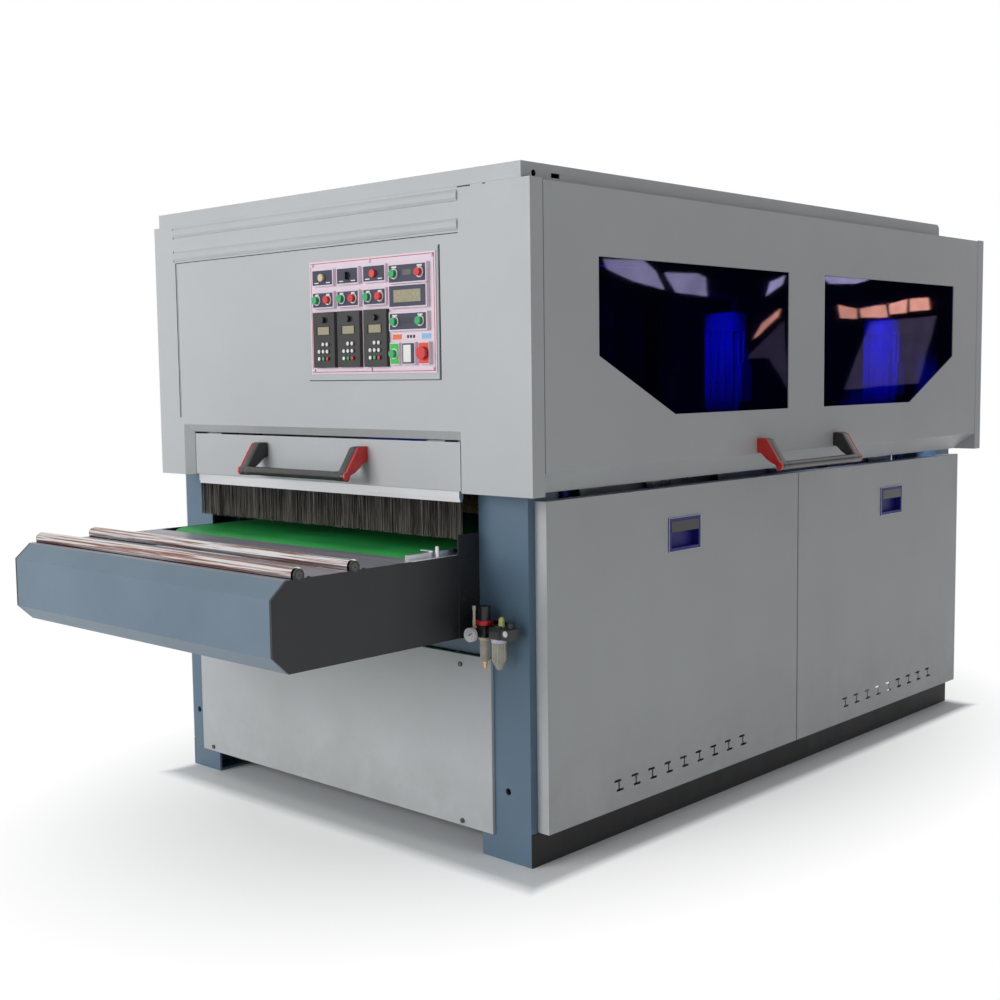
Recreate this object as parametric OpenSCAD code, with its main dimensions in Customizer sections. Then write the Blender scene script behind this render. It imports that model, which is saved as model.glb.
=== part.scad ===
// Wide brush sanding machine: welded frame, belt table, lifting brush carriage and sheet-metal housing.
// Origin at floor level in the middle of the overall length and width. +X right, +Y feed direction, +Z up.

/* [Overall] */
// Length from the infeed nose to the outfeed nose
total_l = 3700; // [3500:10:4000]
// Width across the two side doors
body_w = 1740; // [1700:10:1800]
// Reach of the infeed table in front of the housing
infeed_reach = 605; // [560:5:650]
// Reach of the outfeed table behind the housing
outfeed_reach = 395; // [360:5:420]
// Thickness of the housing sheets
sheet_t = 3; // [2:0.5:4]
// Visible gap between neighbouring sheets
sheet_gap = 3; // [2:0.5:4]

/* [Housing] */
// Height of the housing top above the floor
housing_top = 1870; // [1840:5:1900]
// Height of the lower edge of the housing
housing_bottom = 1050; // [1030:5:1060]
// Depth of the front box in front of the columns
hood_depth = 124; // [110:1:140]
// Distance of the front box from the left side plane
hood_left_inset = 50; // [40:1:60]
// Width of the corner strip beside each side door
strip_w = 49; // [40:1:60]
// Left edge of the hatch from the left edge of the front box
hatch_left = 136; // [120:1:150]
// Right edge of the hatch from the right side plane
hatch_right = 258; // [245:1:270]
// Height of the hatch recess above the lower edge of the housing
hatch_h = 168; // [160:1:180]
// Depth of the sloped recess around the hatch
recess_d = 25; // [20:1:30]
// Height of the raised roof cap
roof_rise = 42; // [35:1:50]
// Distance of the raised roof cap from the rear of the housing
roof_cap_back = 330; // [250:10:400]
// Radius of the roof cap edges
roof_edge_r = 20; // [10:1:25]
// Distance of the roof edge from the side planes
roof_inset = 30; // [28:1:36]

/* [Side doors] */
// Height of the fold line at the bottom of the right door
door_fold_z = 1112; // [1100:1:1125]
// How far the bevel below the fold goes inwards
bevel_in = 87; // [75:1:95]
// Depth of the folded door edges
door_edge_d = 30; // [24:1:34]
// Gap between the door top and the housing top
door_top_gap = 4; // [3:1:6]
// Depth of the hinge axis behind the door face
hinge_in = 18; // [17:0.5:20]
// Distance of the hinge axis below the housing top
hinge_down = 18; // [17:0.5:20]
// Radius of the door hinge pins
hinge_pin_r = 4; // [3:0.5:5]
// Outer radius of the door hinge barrels
hinge_barrel_r = 8; // [7:0.5:9]
// Length of one hinge barrel
hinge_barrel_l = 60; // [40:5:80]
// Distance of the window tops below the housing top
window_down = 187; // [175:1:200]
// Height of the window bottoms above the fold line
window_up = 137; // [125:1:150]
// Share of the window height below the slanted edge's upper end
window_knee_share = 0.387; // [0.35:0.001:0.42]
// Share of the window length that the slanted edge takes
window_slant_share = 0.361; // [0.33:0.001:0.4]
// Gap between the two windows of a door
window_gap = 224; // [200:2:250]
// Mean distance of the outer window ends from the housing ends
window_end = 268; // [250:2:290]
// Shift of both windows towards the rear
window_shift = 8; // [0:1:16]
// Thickness of the window panes
pane_t = 4; // [3:0.5:6]
// Overlap of a window pane behind the door sheet
pane_lap = 15; // [10:1:20]

/* [Lower panels] */
// Distance of the right columns from the right side plane
column_inset = 129; // [120:1:138]
// Thickness of the lift-off panels
panel_t = 42; // [35:1:46]
// Height of the lower edge of the lift-off panels
panel_z0 = 97; // [90:1:110]
// Height of the upper edge of the lift-off panels
panel_z1 = 1025; // [1010:1:1030]
// Distance of the front panel edge behind the column front
panel_setback = 27; // [20:1:35]
// Share of the housing length in front of the split between the two panels
panel_split_share = 0.5396; // [0.53:0.0001:0.55]
// Width of a pull recess
pull_w = 150; // [130:2:170]
// Height of a pull recess
pull_h = 88; // [80:2:100]
// Distance of the pull centre below the upper panel edge
pull_down = 145; // [130:1:160]
// Depth of a pull recess
pull_d = 26; // [20:1:32]
// Share of the housing length in front of the first pull and vents
pull_front_share = 0.2937; // [0.28:0.0001:0.31]
// Share of the housing length in front of the second pull and vents
pull_rear_share = 0.7867; // [0.77:0.0001:0.8]
// Number of vent slots in a panel
vent_count = 9; // [7:1:11]
// Pitch of the vent slots
vent_pitch = 82; // [74:1:88]
// Length of one stroke of a vent slot
vent_l = 44; // [36:1:50]
// Width of a vent slot
vent_w = 7; // [5:0.5:9]
// Distance of the vent row above the lower panel edge
vent_up = 70; // [60:1:80]

/* [Frame] */
// Width of the right columns
column_right_w = 186; // [175:1:195]
// Width of the left columns
column_left_w = 149; // [140:1:155]
// Distance of the left columns from the left side plane
column_left_inset = 5; // [4.5:0.5:8]
// Depth of the columns
column_d = 120; // [100:5:140]
// Plate thickness of the columns
column_t = 8; // [6:1:10]
// Height and width of the frame rails
rail_h = 60; // [50:5:70]
// Height of the kick plates
kick_h = 94; // [80:1:96]
// Radius of the tie-down holes in the columns
tie_r = 10; // [8:0.5:12]
// Height of the tie-down holes
tie_z = 202; // [190:1:215]
// Distance of the tie-down holes from the outer side of the right columns
tie_in = 85; // [75:1:95]
// Distance of the tie-down holes from the outer side of the left columns
tie_in_left = 35; // [30:1:40]

/* [Belt table] */
// Height of the side plate tops above the floor
table_z = 872; // [860:1:880]
// Gap between the table and the left columns
table_gap = 4; // [3:0.5:6]
// Height of the side plates
table_h = 234; // [220:1:240]
// Height of the front face of the nose
nose_h = 145; // [135:1:155]
// Length of the nose bevels
nose_bevel = 49; // [40:1:55]
// Distance of the front nose face below the table top
nose_drop = 43; // [38:1:50]
// Thickness of the table side plates
side_plate_t = 8; // [6:1:10]
// Distance of the belt edges from the outer table sides
belt_in = 45; // [40:1:50]
// Thickness of the belt
belt_t = 4; // [3:0.5:5]
// Radius of the belt drums
drum_r = 60; // [50:1:64]
// Radius of the drum shafts
drum_shaft_r = 20; // [16:1:24]
// How far the belt reaches out of the housing at each end
belt_reach = 90; // [85:1:100]
// Radius of the chrome support rollers
support_r = 20; // [17:0.5:22]
// Height of the support roller axis above the table top
support_rise = 10; // [8:0.5:12]
// Distance of the first support roller from the nose
support_first = 88; // [80:1:95]
// Pitch of the support rollers
support_pitch = 182; // [170:1:190]
// Radius of the support roller axles
support_axle_r = 5; // [4:0.5:6]

/* [Brushes] */
// Number of brushes
brush_count = 6; // [6:1:6]
// Radius over the bristles
brush_r = 100; // [90:1:105]
// Radius of the brush cores
brush_core_r = 42; // [36:1:50]
// Number of bristle strips on a brush
brush_strips = 20; // [16:1:24]
// Share of the pitch that a bristle strip fills
strip_share = 0.55; // [0.4:0.05:0.7]
// Distance of the brush carriage from the columns at each end
carriage_gap = 106.5; // [100:0.5:112]
// Gap between the belt and the brushes at the lowest setting
pass_h = 50; // [46:1:80]
// Travel of the brush carriage
lift_travel = 100; // [60:5:120]
// Radius of the brush shafts
brush_shaft_r = 20; // [16:1:24]
// Radius of the brush pulleys
pulley_r = 44; // [40:1:45]
// Radius of the vertical brush motors
motor_r = 72; // [60:1:76]

/* [Curtains] */
// Length of the curtain bristles
curtain_l = 116; // [100:1:120]
// Number of bristles in one row of the front curtain
front_strands = 120; // [80:10:130]
// Number of bristles in one row of the rear curtain
rear_strands = 70; // [40:10:80]

/* [Controls] */
// Width of the control plate
plate_w = 533; // [520:1:570]
// Share of the front sheet above the hatch that the control plate takes
plate_h_share = 0.506; // [0.49:0.001:0.52]
// Distance of the control plate from the right side plane
plate_right = 342; // [330:1:350]
// Share of the front sheet above the hatch that lies above the control plate
plate_down_share = 0.25; // [0.23:0.005:0.26]
// Radius of the push buttons
button_r = 11; // [9:0.5:13]
// Travel of the push buttons
button_travel = 4; // [2:0.5:5]
// Radius of the emergency stop mushroom
stop_r = 18; // [16:0.5:22]

/* [Handles] */
// Length of the pull handles
handle_l = 510; // [480:5:540]
// Reach of the handles out of their panels
handle_out = 78; // [65:1:90]
// How far the handle bars lie below their feet
handle_drop = 62; // [50:1:70]
// Radius of the handle bars
handle_bar_r = 14; // [12:0.5:16]

/* [Hidden] */
$fn = 48;

// Overrun of cuts, clearance between moving solids and running clearance of shafts
cut = 1;
free_gap = 0.3;
run_gap = 0.06;

// Main planes
body_l = total_l - infeed_reach - outfeed_reach;
side_x = body_w / 2;
nose_y0 = -total_l / 2;
nose_y1 = total_l / 2;
front_y = nose_y0 + infeed_reach;
rear_y = front_y + body_l;
frame_y0 = front_y + hood_depth;
frame_y1 = rear_y - sheet_t;
hood_x0 = -side_x + hood_left_inset;
roof_x = side_x - roof_inset;

// Columns and table sides
column_x1 = side_x - column_inset;
column_x0 = column_x1 - column_right_w;
left_column_x0 = -side_x + column_left_inset;
left_column_x1 = left_column_x0 + column_left_w;
table_x1 = column_x0 - sheet_gap;
table_x0 = left_column_x1 + table_gap;
column_top = housing_top - rail_h - hinge_down;
plate_in_x0 = table_x0 + side_plate_t;
plate_in_x1 = table_x1 - side_plate_t;
table_low = table_z - table_h;
beam_y = [frame_y0 + column_t, frame_y1 - column_t - rail_h];
foot_rail_z = kick_h - rail_h / 2;
side_rail_z = table_z + rail_h / 4;
side_rail_w = 80;

// Belt loop
belt_x0 = table_x0 + belt_in;
belt_x1 = table_x1 - belt_in;
belt_top = table_z + belt_t;
drum_z = table_z - drum_r;
tail_y = front_y - belt_reach + drum_r + belt_t;
drive_y = rear_y + belt_reach - drum_r - belt_t;
bearing_pad_t = 20;
bed_plate_t = 12;
rib_h = 66;
rib_t = 12;
rib_count = 7;
rib_in = 30;
rib_pitch = (drive_y - tail_y - 2 * (drum_r + rib_in) - rib_t) / (rib_count - 1);
cross_tube_w = 50;

// Table support rollers
support_y = [nose_y0 + support_first, nose_y0 + support_first + support_pitch];
support_z = table_z + support_rise;
ear_t = 4;
ear_r = support_r - ear_t;

// Brush carriage
carriage_y = (frame_y0 + frame_y1) / 2;
brush_z = belt_top + pass_h + brush_r;
beam_w = 60;
beam_h = 120;
carriage_x0 = plate_in_x0 - beam_w;
carriage_x1 = plate_in_x1 + beam_w;
brush_room = frame_y1 - frame_y0 - 2 * (column_d + carriage_gap + beam_w + brush_r);
brush_pitch = brush_room / (brush_count - 1);
brush_first_y = carriage_y - (brush_count - 1) / 2 * brush_pitch;
function brush_y(i) = brush_first_y + i * brush_pitch;
carriage_y0 = brush_y(0) - brush_r - beam_w;
carriage_y1 = brush_y(brush_count - 1) + brush_r + beam_w;
cowl_gap = 14;
cowl_r = brush_r + cowl_gap;
brush_x0 = belt_x0;
brush_x1 = belt_x1;
pulley_w = 30;
pulley_gap = 8;
pulley_x0 = carriage_x1 + pulley_gap;
drive_belt_t = 5;
motor_x = pulley_x0 + pulley_w;
motor_brushes = [0, 2, 5];
gearbox_h = 100;
gearbox_w = 90;
mount_plate_t = 10;
motor_base_z = brush_z + beam_h / 2 + gearbox_h;
motor_room_share = 0.74;
motor_h = motor_room_share * (column_top - lift_travel - motor_base_z);
fin_count = 18;
fin_h = 8;
fin_w = 4;
cowl_h = 60;

// Lifting screws
jack_in_left = 66;
jack_in_right = 95;
jack_x = [left_column_x1 - jack_in_left, column_x0 + jack_in_right];
jack_y = [carriage_y0 + beam_w / 2, carriage_y1 - beam_w / 2];
jack_box = 110;
screw_r = 15;
screw_room_share = 0.615;
screw_len = screw_room_share * (column_top - side_rail_z - rail_h);
nut_plate_t = 40;
nut_plate_w = 90;
nut_z = brush_z + beam_h / 2 - nut_plate_t;

// Curtains
curtain_x0 = hood_x0 + hatch_left;
curtain_x1 = table_x1 - sheet_gap;
curtain_rail_h = 20;
curtain_rail_w = 16;
curtain_y = [front_y + hood_depth / 2, rear_y - hood_depth / 2];
curtain_top = housing_bottom - sheet_t - curtain_rail_h;
strand_t = 1.6;
strand_rows = 2;
row_pitch = 4;
strand_root = 6;
strand_fill_share = 0.62;
strand_lean_share = 0.16;
strand_length_share = 0.09;
hood_floor_in = 20;
hood_floor_y = recess_d + hood_floor_in;

// Controls
plate_x1 = side_x - plate_right;
plate_x0 = plate_x1 - plate_w;
upper_field_h = housing_top - housing_bottom - hatch_h;
plate_h = plate_h_share * upper_field_h;
plate_z1 = housing_top - plate_down_share * upper_field_h;
plate_z0 = plate_z1 - plate_h;
plate_t = 3;
block_t = 12;
plate_face = front_y - plate_t;
block_face = plate_face - block_t;
cap_t = 9;
stem_share = 0.6;
column_share = [0.135, 0.343, 0.557];
wide_share = 0.812;
row_share = [0.852, 0.655, 0.303];
wide_row_share = [0.833, 0.645, 0.433];
stop_row_share = 0.164;
stop_share = [0.707, 0.812, 0.927];
block_w_share = 0.18;
block_h_share = 0.15;
pair_h_share = 0.145;
keypad_h_share = 0.49;
wide_w_share = 0.287;
wide_h_shares = [0.167, 0.197, 0.158];
pair_half_share = 0.047;
wide_half_share = 0.096;
block_w = block_w_share * plate_w;
block_h = block_h_share * plate_h;
pair_h = pair_h_share * plate_h;
keypad_h = keypad_h_share * plate_h;
wide_w = wide_w_share * plate_w;
pair_half = pair_half_share * plate_w;
wide_half = wide_half_share * plate_w;

// Place and size of every push button: x share, x offset, z share, radius
BUTTONS = [
  [wide_share, -wide_half, wide_row_share[0], button_r],
  [wide_share, wide_half, wide_row_share[0], button_r],
  [column_share[0], -pair_half, row_share[1], button_r],
  [column_share[0], pair_half, row_share[1], button_r],
  [column_share[1], -pair_half, row_share[1], button_r],
  [column_share[1], pair_half, row_share[1], button_r],
  [column_share[2], -pair_half, row_share[1], button_r],
  [column_share[2], pair_half, row_share[1], button_r],
  [wide_share, -wide_half, wide_row_share[2], button_r],
  [wide_share, wide_half, wide_row_share[2], button_r],
  [stop_share[0], 0, stop_row_share, button_r],
  [stop_share[2], 0, stop_row_share, stop_r]
];
BUTTON_COLORS = [
  "mediumseagreen", "crimson", "mediumseagreen", "crimson", "mediumseagreen", "crimson",
  "mediumseagreen", "crimson", "mediumseagreen", "mediumseagreen", "mediumseagreen", "crimson"
];

// Paint colours
paint = [0.73, 0.74, 0.75];
frame_blue = [0.38, 0.47, 0.55];
charcoal = [0.10, 0.10, 0.12];
handle_black = [0.08, 0.08, 0.08];
belt_green = [0.12, 0.60, 0.24];
motor_blue = [0.05, 0.10, 0.60];
steel = [0.70, 0.72, 0.74];

// Box between two corners
module block(lo, hi) {
  translate(lo) cube(hi - lo);
}

// Outline in Y and Z carried along X
module along_x(x0, x1) {
  translate([x0, 0, 0]) rotate([90, 0, 90]) linear_extrude(x1 - x0) children();
}

// Outline in X and Z carried along Y
module along_y(y0, y1) {
  translate([0, y1, 0]) rotate([90, 0, 0]) linear_extrude(y1 - y0) children();
}

// Outline in X and Y carried along Z
module along_z(z0, z1) {
  translate([0, 0, z0]) linear_extrude(z1 - z0) children();
}

module rod_x(x0, x1, y, z, r) {
  along_x(x0, x1) translate([y, z]) circle(r);
}

module rod_y(y0, y1, x, z, r) {
  along_y(y0, y1) translate([x, z]) circle(r);
}

module rod_z(z0, z1, x, y, r) {
  along_z(z0, z1) translate([x, y]) circle(r);
}

// Shallow tray facing +X: outer face at x1, folded edges going back to x0
module tray_x(x0, x1, y0, y1, z0, z1) {
  difference() {
    block([x0, y0, z0], [x1, y1, z1]);
    block([x0 - cut, y0 + sheet_t, z0 + sheet_t], [x1 - sheet_t, y1 - sheet_t, z1 - sheet_t]);
  }
}

// Shallow tray facing -Y: outer face at y0
module tray_front(x0, x1, y0, y1, z0, z1) {
  difference() {
    block([x0, y0, z0], [x1, y1, z1]);
    block([x0 + sheet_t, y0 + sheet_t, z0 + sheet_t], [x1 - sheet_t, y1 + cut, z1 - sheet_t]);
  }
}

// C-shaped column: plates on the outer side and on the front and rear faces
module column(x0, x1, y0, y1, open_left) {
  inner_x0 = open_left ? x0 - cut : x0 + column_t;
  inner_x1 = open_left ? x1 - column_t : x1 + cut;
  difference() {
    block([x0, y0, 0], [x1, y1, column_top]);
    block([inner_x0, y0 + column_t, column_t], [inner_x1, y1 - column_t, column_top - column_t]);
  }
}

hinge_shares = [0.12, 0.5, 0.88];
hinge_z = housing_top - hinge_down;
hinge_x = side_x - hinge_in;
door_y0 = front_y + strip_w + sheet_gap;
door_y1 = rear_y - strip_w - sheet_gap;
door_z1 = housing_top - door_top_gap;
function hinge_y(i) = door_y0 + hinge_shares[i] * (door_y1 - door_y0);
lug_w = 14;
top_rail_gap = 12;
top_rail_x = hinge_x - 2 * hinge_barrel_r - top_rail_gap;
top_rail_z0 = column_top;
top_rail_z1 = column_top + rail_h;

// Pins and lugs on one top rail, drawn for the right side
module door_lugs() {
  for (i = [0 : len(hinge_shares) - 1]) {
    y = hinge_y(i);
    half = hinge_barrel_l / 2 + free_gap;
    rod_y(y - half - cut, y + half + cut, hinge_x, hinge_z, hinge_pin_r);
    for (side = [-1, 1]) {
      y0 = side < 0 ? y - half - lug_w : y + half;
      rod_y(y0, y0 + lug_w, hinge_x, hinge_z, hinge_barrel_r);
      block([top_rail_x - sheet_t, y0, hinge_z - hinge_barrel_r],
            [hinge_x, y0 + lug_w, hinge_z + hinge_barrel_r / 2]);
    }
  }
}

// Hinge barrels of one door, drawn for the right side
module door_barrels() {
  for (i = [0 : len(hinge_shares) - 1]) {
    y = hinge_y(i);
    half = hinge_barrel_l / 2;
    difference() {
      union() {
        rod_y(y - half, y + half, hinge_x, hinge_z, hinge_barrel_r);
        block([hinge_x, y - half, hinge_z - hinge_barrel_r],
              [side_x - sheet_t / 2, y + half, hinge_z + hinge_barrel_r / 2]);
      }
      rod_y(y - half - cut, y + half + cut, hinge_x, hinge_z, hinge_pin_r + run_gap);
    }
  }
}

module base_frame() {
  color(frame_blue) {
    difference() {
      union() {
        for (y = [[frame_y0, frame_y0 + column_d], [frame_y1 - column_d, frame_y1]]) {
          column(column_x0, column_x1, y[0], y[1], true);
          column(left_column_x0, left_column_x1, y[0], y[1], false);
        }
        // Top ring
        for (side = [-1, 1]) {
          x0 = side < 0 ? -top_rail_x : top_rail_x - rail_h;
          block([x0, frame_y0, top_rail_z0], [x0 + rail_h, frame_y1, top_rail_z1]);
        }
        for (y = [frame_y0, frame_y1 - rail_h])
          block([-top_rail_x, y, top_rail_z0], [top_rail_x, y + rail_h, top_rail_z1]);
        // Foot rails, table beams and side rails
        for (y = beam_y) {
          block([left_column_x1 - column_t, y, foot_rail_z],
                [column_x0 + column_t, y + rail_h, foot_rail_z + rail_h]);
          block([left_column_x1 - column_t, y, table_low - rail_h],
                [column_x0 + column_t, y + rail_h, table_low]);
        }
        for (x = [left_column_x0 + column_t, column_x1 - column_t - rail_h])
          block([x, frame_y0 + column_t, sheet_gap], [x + rail_h, frame_y1 - column_t, sheet_gap + rail_h]);
        for (x = [left_column_x0 + column_t, column_x1 - column_t - side_rail_w])
          block([x, frame_y0 + column_t, side_rail_z],
                [x + side_rail_w, frame_y1 - column_t, side_rail_z + rail_h]);
        door_lugs();
        mirror([1, 0, 0]) door_lugs();
      }
      for (x = [column_x1 - tie_in, left_column_x0 + tie_in_left])
        for (y = [frame_y0, frame_y1 - column_t])
          rod_y(y - cut, y + column_t + cut, x, tie_z, tie_r);
    }
  }
}

module kick_plates() {
  color(charcoal) {
    block([column_x1, frame_y0, 0], [column_x1 + sheet_t, frame_y1, kick_h]);
    block([left_column_x0 - sheet_t, frame_y0, 0], [left_column_x0, frame_y1, kick_h]);
  }
}

cover_in_left = 69;
cover_lap = 49;
cover_x0 = left_column_x0 + cover_in_left;
cover_x1 = column_x0 + cover_lap;
cover_z0 = 70;
cover_z1 = table_low - rail_h - sheet_gap;
cover_t = 10;

module front_base_cover() {
  color(paint) tray_front(cover_x0, cover_x1, frame_y0 - cover_t, frame_y0, cover_z0, cover_z1);
}

left_split_y = front_y + panel_split_share * body_l;

module rear_and_left_covers() {
  color(paint) {
    difference() {
      block([cover_x0, frame_y1, cover_z0], [cover_x1, frame_y1 + cover_t, cover_z1]);
      block([cover_x0 + sheet_t, frame_y1 - cut, cover_z0 + sheet_t],
            [cover_x1 - sheet_t, frame_y1 + cover_t - sheet_t, cover_z1 - sheet_t]);
    }
    x1 = left_column_x0;
    for (y = [[frame_y0, left_split_y - sheet_gap / 2], [left_split_y + sheet_gap / 2, frame_y1]])
      block([x1 - sheet_t, y[0], kick_h + sheet_gap], [x1, y[1], housing_bottom - sheet_gap]);
  }
}

screw_head_r = 7;
screw_head_t = 4;
screw_in = 60;

module cover_screws() {
  color(steel) {
    for (x = [cover_x0 + screw_in, cover_x1 - 2 * screw_in])
      for (z = [cover_z0 + screw_in / 4, cover_z1 - screw_in / 2]) {
        rod_y(frame_y0 - cover_t - screw_head_t, frame_y0 - cover_t, x, z, screw_head_r);
        rod_y(frame_y1 + cover_t, frame_y1 + cover_t + screw_head_t, x, z, screw_head_r);
      }
    for (y = [frame_y0 + screw_in, left_split_y - screw_in, left_split_y + screw_in, frame_y1 - screw_in])
      for (z = [kick_h + screw_in, housing_bottom - screw_in])
        rod_x(left_column_x0 - sheet_t - screw_head_t, left_column_x0 - sheet_t, y, z, screw_head_r);
  }
}

hatch_x0 = hood_x0 + hatch_left;
hatch_x1 = side_x - hatch_right;
hatch_z1 = housing_bottom + hatch_h;
hatch_pin_r = 4;
hatch_lug_r = 7;
hatch_pin_back = 8;
hatch_pin_down = 9;
hatch_pin_y = front_y + recess_d + sheet_t + hatch_pin_back;
hatch_pin_z = hatch_z1 - recess_d - hatch_pin_down;
hatch_lug_l = 20;
hatch_arm_t = 6;
hatch_arm_z = hatch_z1 - recess_d + hatch_pin_down + sheet_t - hatch_arm_t / 3;
hatch_barrel_l = 30;
hatch_shares = [0.08, 0.92];
hatch_in_x0 = hatch_x0 + recess_d + sheet_gap;
hatch_in_x1 = hatch_x1 - recess_d - sheet_gap;
function hatch_hinge_x(i) = hatch_in_x0 + hatch_shares[i] * (hatch_in_x1 - hatch_in_x0);

// Sloped side of the hatch recess, drawn for the left side
module recess_side() {
  along_z(housing_bottom, hatch_z1) polygon([
    [hatch_x0, front_y],
    [hatch_x0 + recess_d, front_y + recess_d],
    [hatch_x0 + recess_d, front_y + recess_d + sheet_t],
    [hatch_x0 - sheet_t, front_y + sheet_t]
  ]);
}

// Arm in Y and Z from a hatch lug up into the sloped top of the recess
module hatch_arm_outline() {
  y0 = hatch_pin_y + sheet_t * 2 / 3;
  y1 = hatch_pin_y + 2 * hatch_lug_r;
  translate([y0, hatch_pin_z - hatch_lug_r])
    square([y1 - y0, hatch_arm_z - hatch_pin_z + hatch_lug_r]);
  translate([front_y + recess_d - sheet_t / 2, hatch_arm_z - hatch_arm_t])
    square([y1 - front_y - recess_d + sheet_t / 2, hatch_arm_t]);
}

module front_hood() {
  color(paint) {
    difference() {
      union() {
        block([hood_x0, front_y, housing_bottom], [side_x, front_y + sheet_t, housing_top]);
        // Side returns and the strips beside the doors
        block([hood_x0, front_y, housing_bottom], [hood_x0 + sheet_t, frame_y0, housing_top]);
        block([side_x - sheet_t, front_y, housing_bottom], [side_x, front_y + strip_w, housing_top]);
        block([column_x0, front_y + strip_w - sheet_t, housing_bottom],
              [side_x, front_y + strip_w, housing_top - roof_inset]);
        // Top and the floors beside the hatch
        block([hood_x0, front_y, housing_top - sheet_t], [roof_x, frame_y0, housing_top]);
        block([hood_x0, front_y, housing_bottom], [hatch_x0, frame_y0, housing_bottom + sheet_t]);
        block([hatch_x1, front_y, housing_bottom], [side_x, front_y + strip_w, housing_bottom + sheet_t]);
        block([hatch_x1 - recess_d, front_y + hood_floor_y, housing_bottom],
              [column_x1, frame_y0, housing_bottom + sheet_t]);
        block([hood_x0, front_y + hood_floor_y, housing_bottom],
              [column_x1, frame_y0, housing_bottom + sheet_t]);
        // Flanges on the column fronts
        block([column_x0 + sheet_gap, frame_y0 - sheet_t, housing_bottom],
              [column_x1, frame_y0, housing_top]);
        block([hood_x0, frame_y0 - sheet_t, housing_bottom],
              [left_column_x1 - sheet_gap, frame_y0, housing_top]);
      }
      block([hatch_x0, front_y - cut, housing_bottom - cut],
            [hatch_x1, front_y + sheet_t + cut, hatch_z1]);
    }
    recess_side();
    translate([hatch_x0 + hatch_x1, 0, 0]) mirror([1, 0, 0]) recess_side();
    along_x(hatch_x0, hatch_x1) polygon([
      [front_y, hatch_z1],
      [front_y + recess_d, hatch_z1 - recess_d],
      [front_y + recess_d + sheet_t, hatch_z1 - recess_d],
      [front_y + recess_d + sheet_t, hatch_z1 - recess_d + sheet_t],
      [front_y + sheet_t, hatch_z1 + sheet_t],
      [front_y, hatch_z1 + sheet_t]
    ]);
    for (i = [0, 1]) {
      x = hatch_hinge_x(i);
      half = hatch_barrel_l / 2 + free_gap;
      rod_x(x - half - cut, x + half + cut, hatch_pin_y, hatch_pin_z, hatch_pin_r);
      for (side = [-1, 1]) {
        x0 = side < 0 ? x - half - hatch_lug_l : x + half;
        rod_x(x0, x0 + hatch_lug_l, hatch_pin_y, hatch_pin_z, hatch_lug_r);
        along_x(x0, x0 + hatch_lug_l) hatch_arm_outline();
      }
    }
  }
}

module rear_hood() {
  color(paint) {
    block([-side_x, frame_y1, housing_bottom], [side_x, rear_y, housing_top]);
    for (x = [-side_x, side_x - sheet_t])
      block([x, rear_y - strip_w, housing_bottom], [x + sheet_t, rear_y, housing_top]);
    block([column_x1 + sheet_gap, rear_y - strip_w, housing_bottom],
          [side_x, rear_y - strip_w + sheet_t, column_top]);
    block([left_column_x1 + sheet_gap, rear_y - hood_depth, housing_bottom],
          [column_x0 - sheet_gap, rear_y, housing_bottom + sheet_t]);
  }
}

cap_x0 = hood_x0 + roof_inset;
cap_y1 = rear_y - roof_cap_back;
lift_hole_r = 9;
slot_w = 34;
slot_in = 2.4 * strip_w;
slot_h = 12;

// Roof cap outline seen from the side, with its rounded rear end
module cap_outline(inset) {
  y0 = front_y + inset;
  y1 = cap_y1 - inset;
  z0 = housing_top;
  z1 = housing_top + roof_rise - inset;
  r = roof_edge_r - inset;
  union() {
    translate([y0, z0]) square([y1 - r - y0, z1 - z0]);
    translate([y0, z0]) square([y1 - y0, z1 - r - z0]);
    translate([y1 - r, z1 - r]) circle(r);
  }
}

module roof_cover() {
  color(paint) difference() {
    union() {
      block([-roof_x, frame_y0, housing_top], [roof_x, rear_y, housing_top + sheet_t]);
      block([cap_x0, front_y, housing_top], [roof_x, frame_y0, housing_top + sheet_t]);
      along_x(cap_x0, roof_x) cap_outline(0);
    }
    along_x(cap_x0 + sheet_t, roof_x - sheet_t) intersection() {
      cap_outline(sheet_t);
      translate([front_y, housing_top + sheet_t]) square([body_l, roof_rise]);
    }
    rod_x(roof_x - sheet_t - cut, roof_x + cut, front_y + strip_w, housing_top + roof_rise / 3, lift_hole_r);
    block([roof_x - sheet_t - cut, front_y + slot_in, housing_top + roof_rise / 5],
          [roof_x + cut, front_y + slot_in + slot_w, housing_top + roof_rise / 5 + slot_h]);
  }
}

// Pull handle lying along X: feet against the plane y = 0, bar towards -Y and -Z
handle_foot_h = 46;
handle_cap_t = 9;
handle_arm_t = 30;

module handle_arm_outline() {
  hull() {
    translate([-handle_arm_t / 5, 0]) square([handle_arm_t / 5, handle_foot_h / 2]);
    translate([-handle_arm_t / 2, 0]) square([handle_arm_t / 2, handle_foot_h / 2]);
  }
  polygon([
    [0, handle_foot_h / 2],
    [0, -handle_foot_h / 2],
    [-handle_out + handle_bar_r, -handle_drop - handle_bar_r],
    [-handle_out - handle_bar_r, -handle_drop - handle_bar_r],
    [-handle_out - handle_bar_r, -handle_drop + handle_bar_r / 2],
    [-handle_arm_t, handle_foot_h / 2]
  ]);
}

module pull_handle() {
  half = handle_l / 2;
  for (side = [-1, 1]) {
    x0 = side < 0 ? -half : half - handle_arm_t - handle_cap_t;
    along_x(x0, x0 + handle_arm_t + handle_cap_t) handle_arm_outline();
  }
  rod_x(-half + handle_arm_t, half - handle_arm_t, -handle_out, -handle_drop, handle_bar_r);
}

hatch_face_y = front_y + recess_d;
hatch_z0 = housing_bottom + sheet_gap;
hatch_top = hatch_pin_z + sheet_t;

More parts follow.
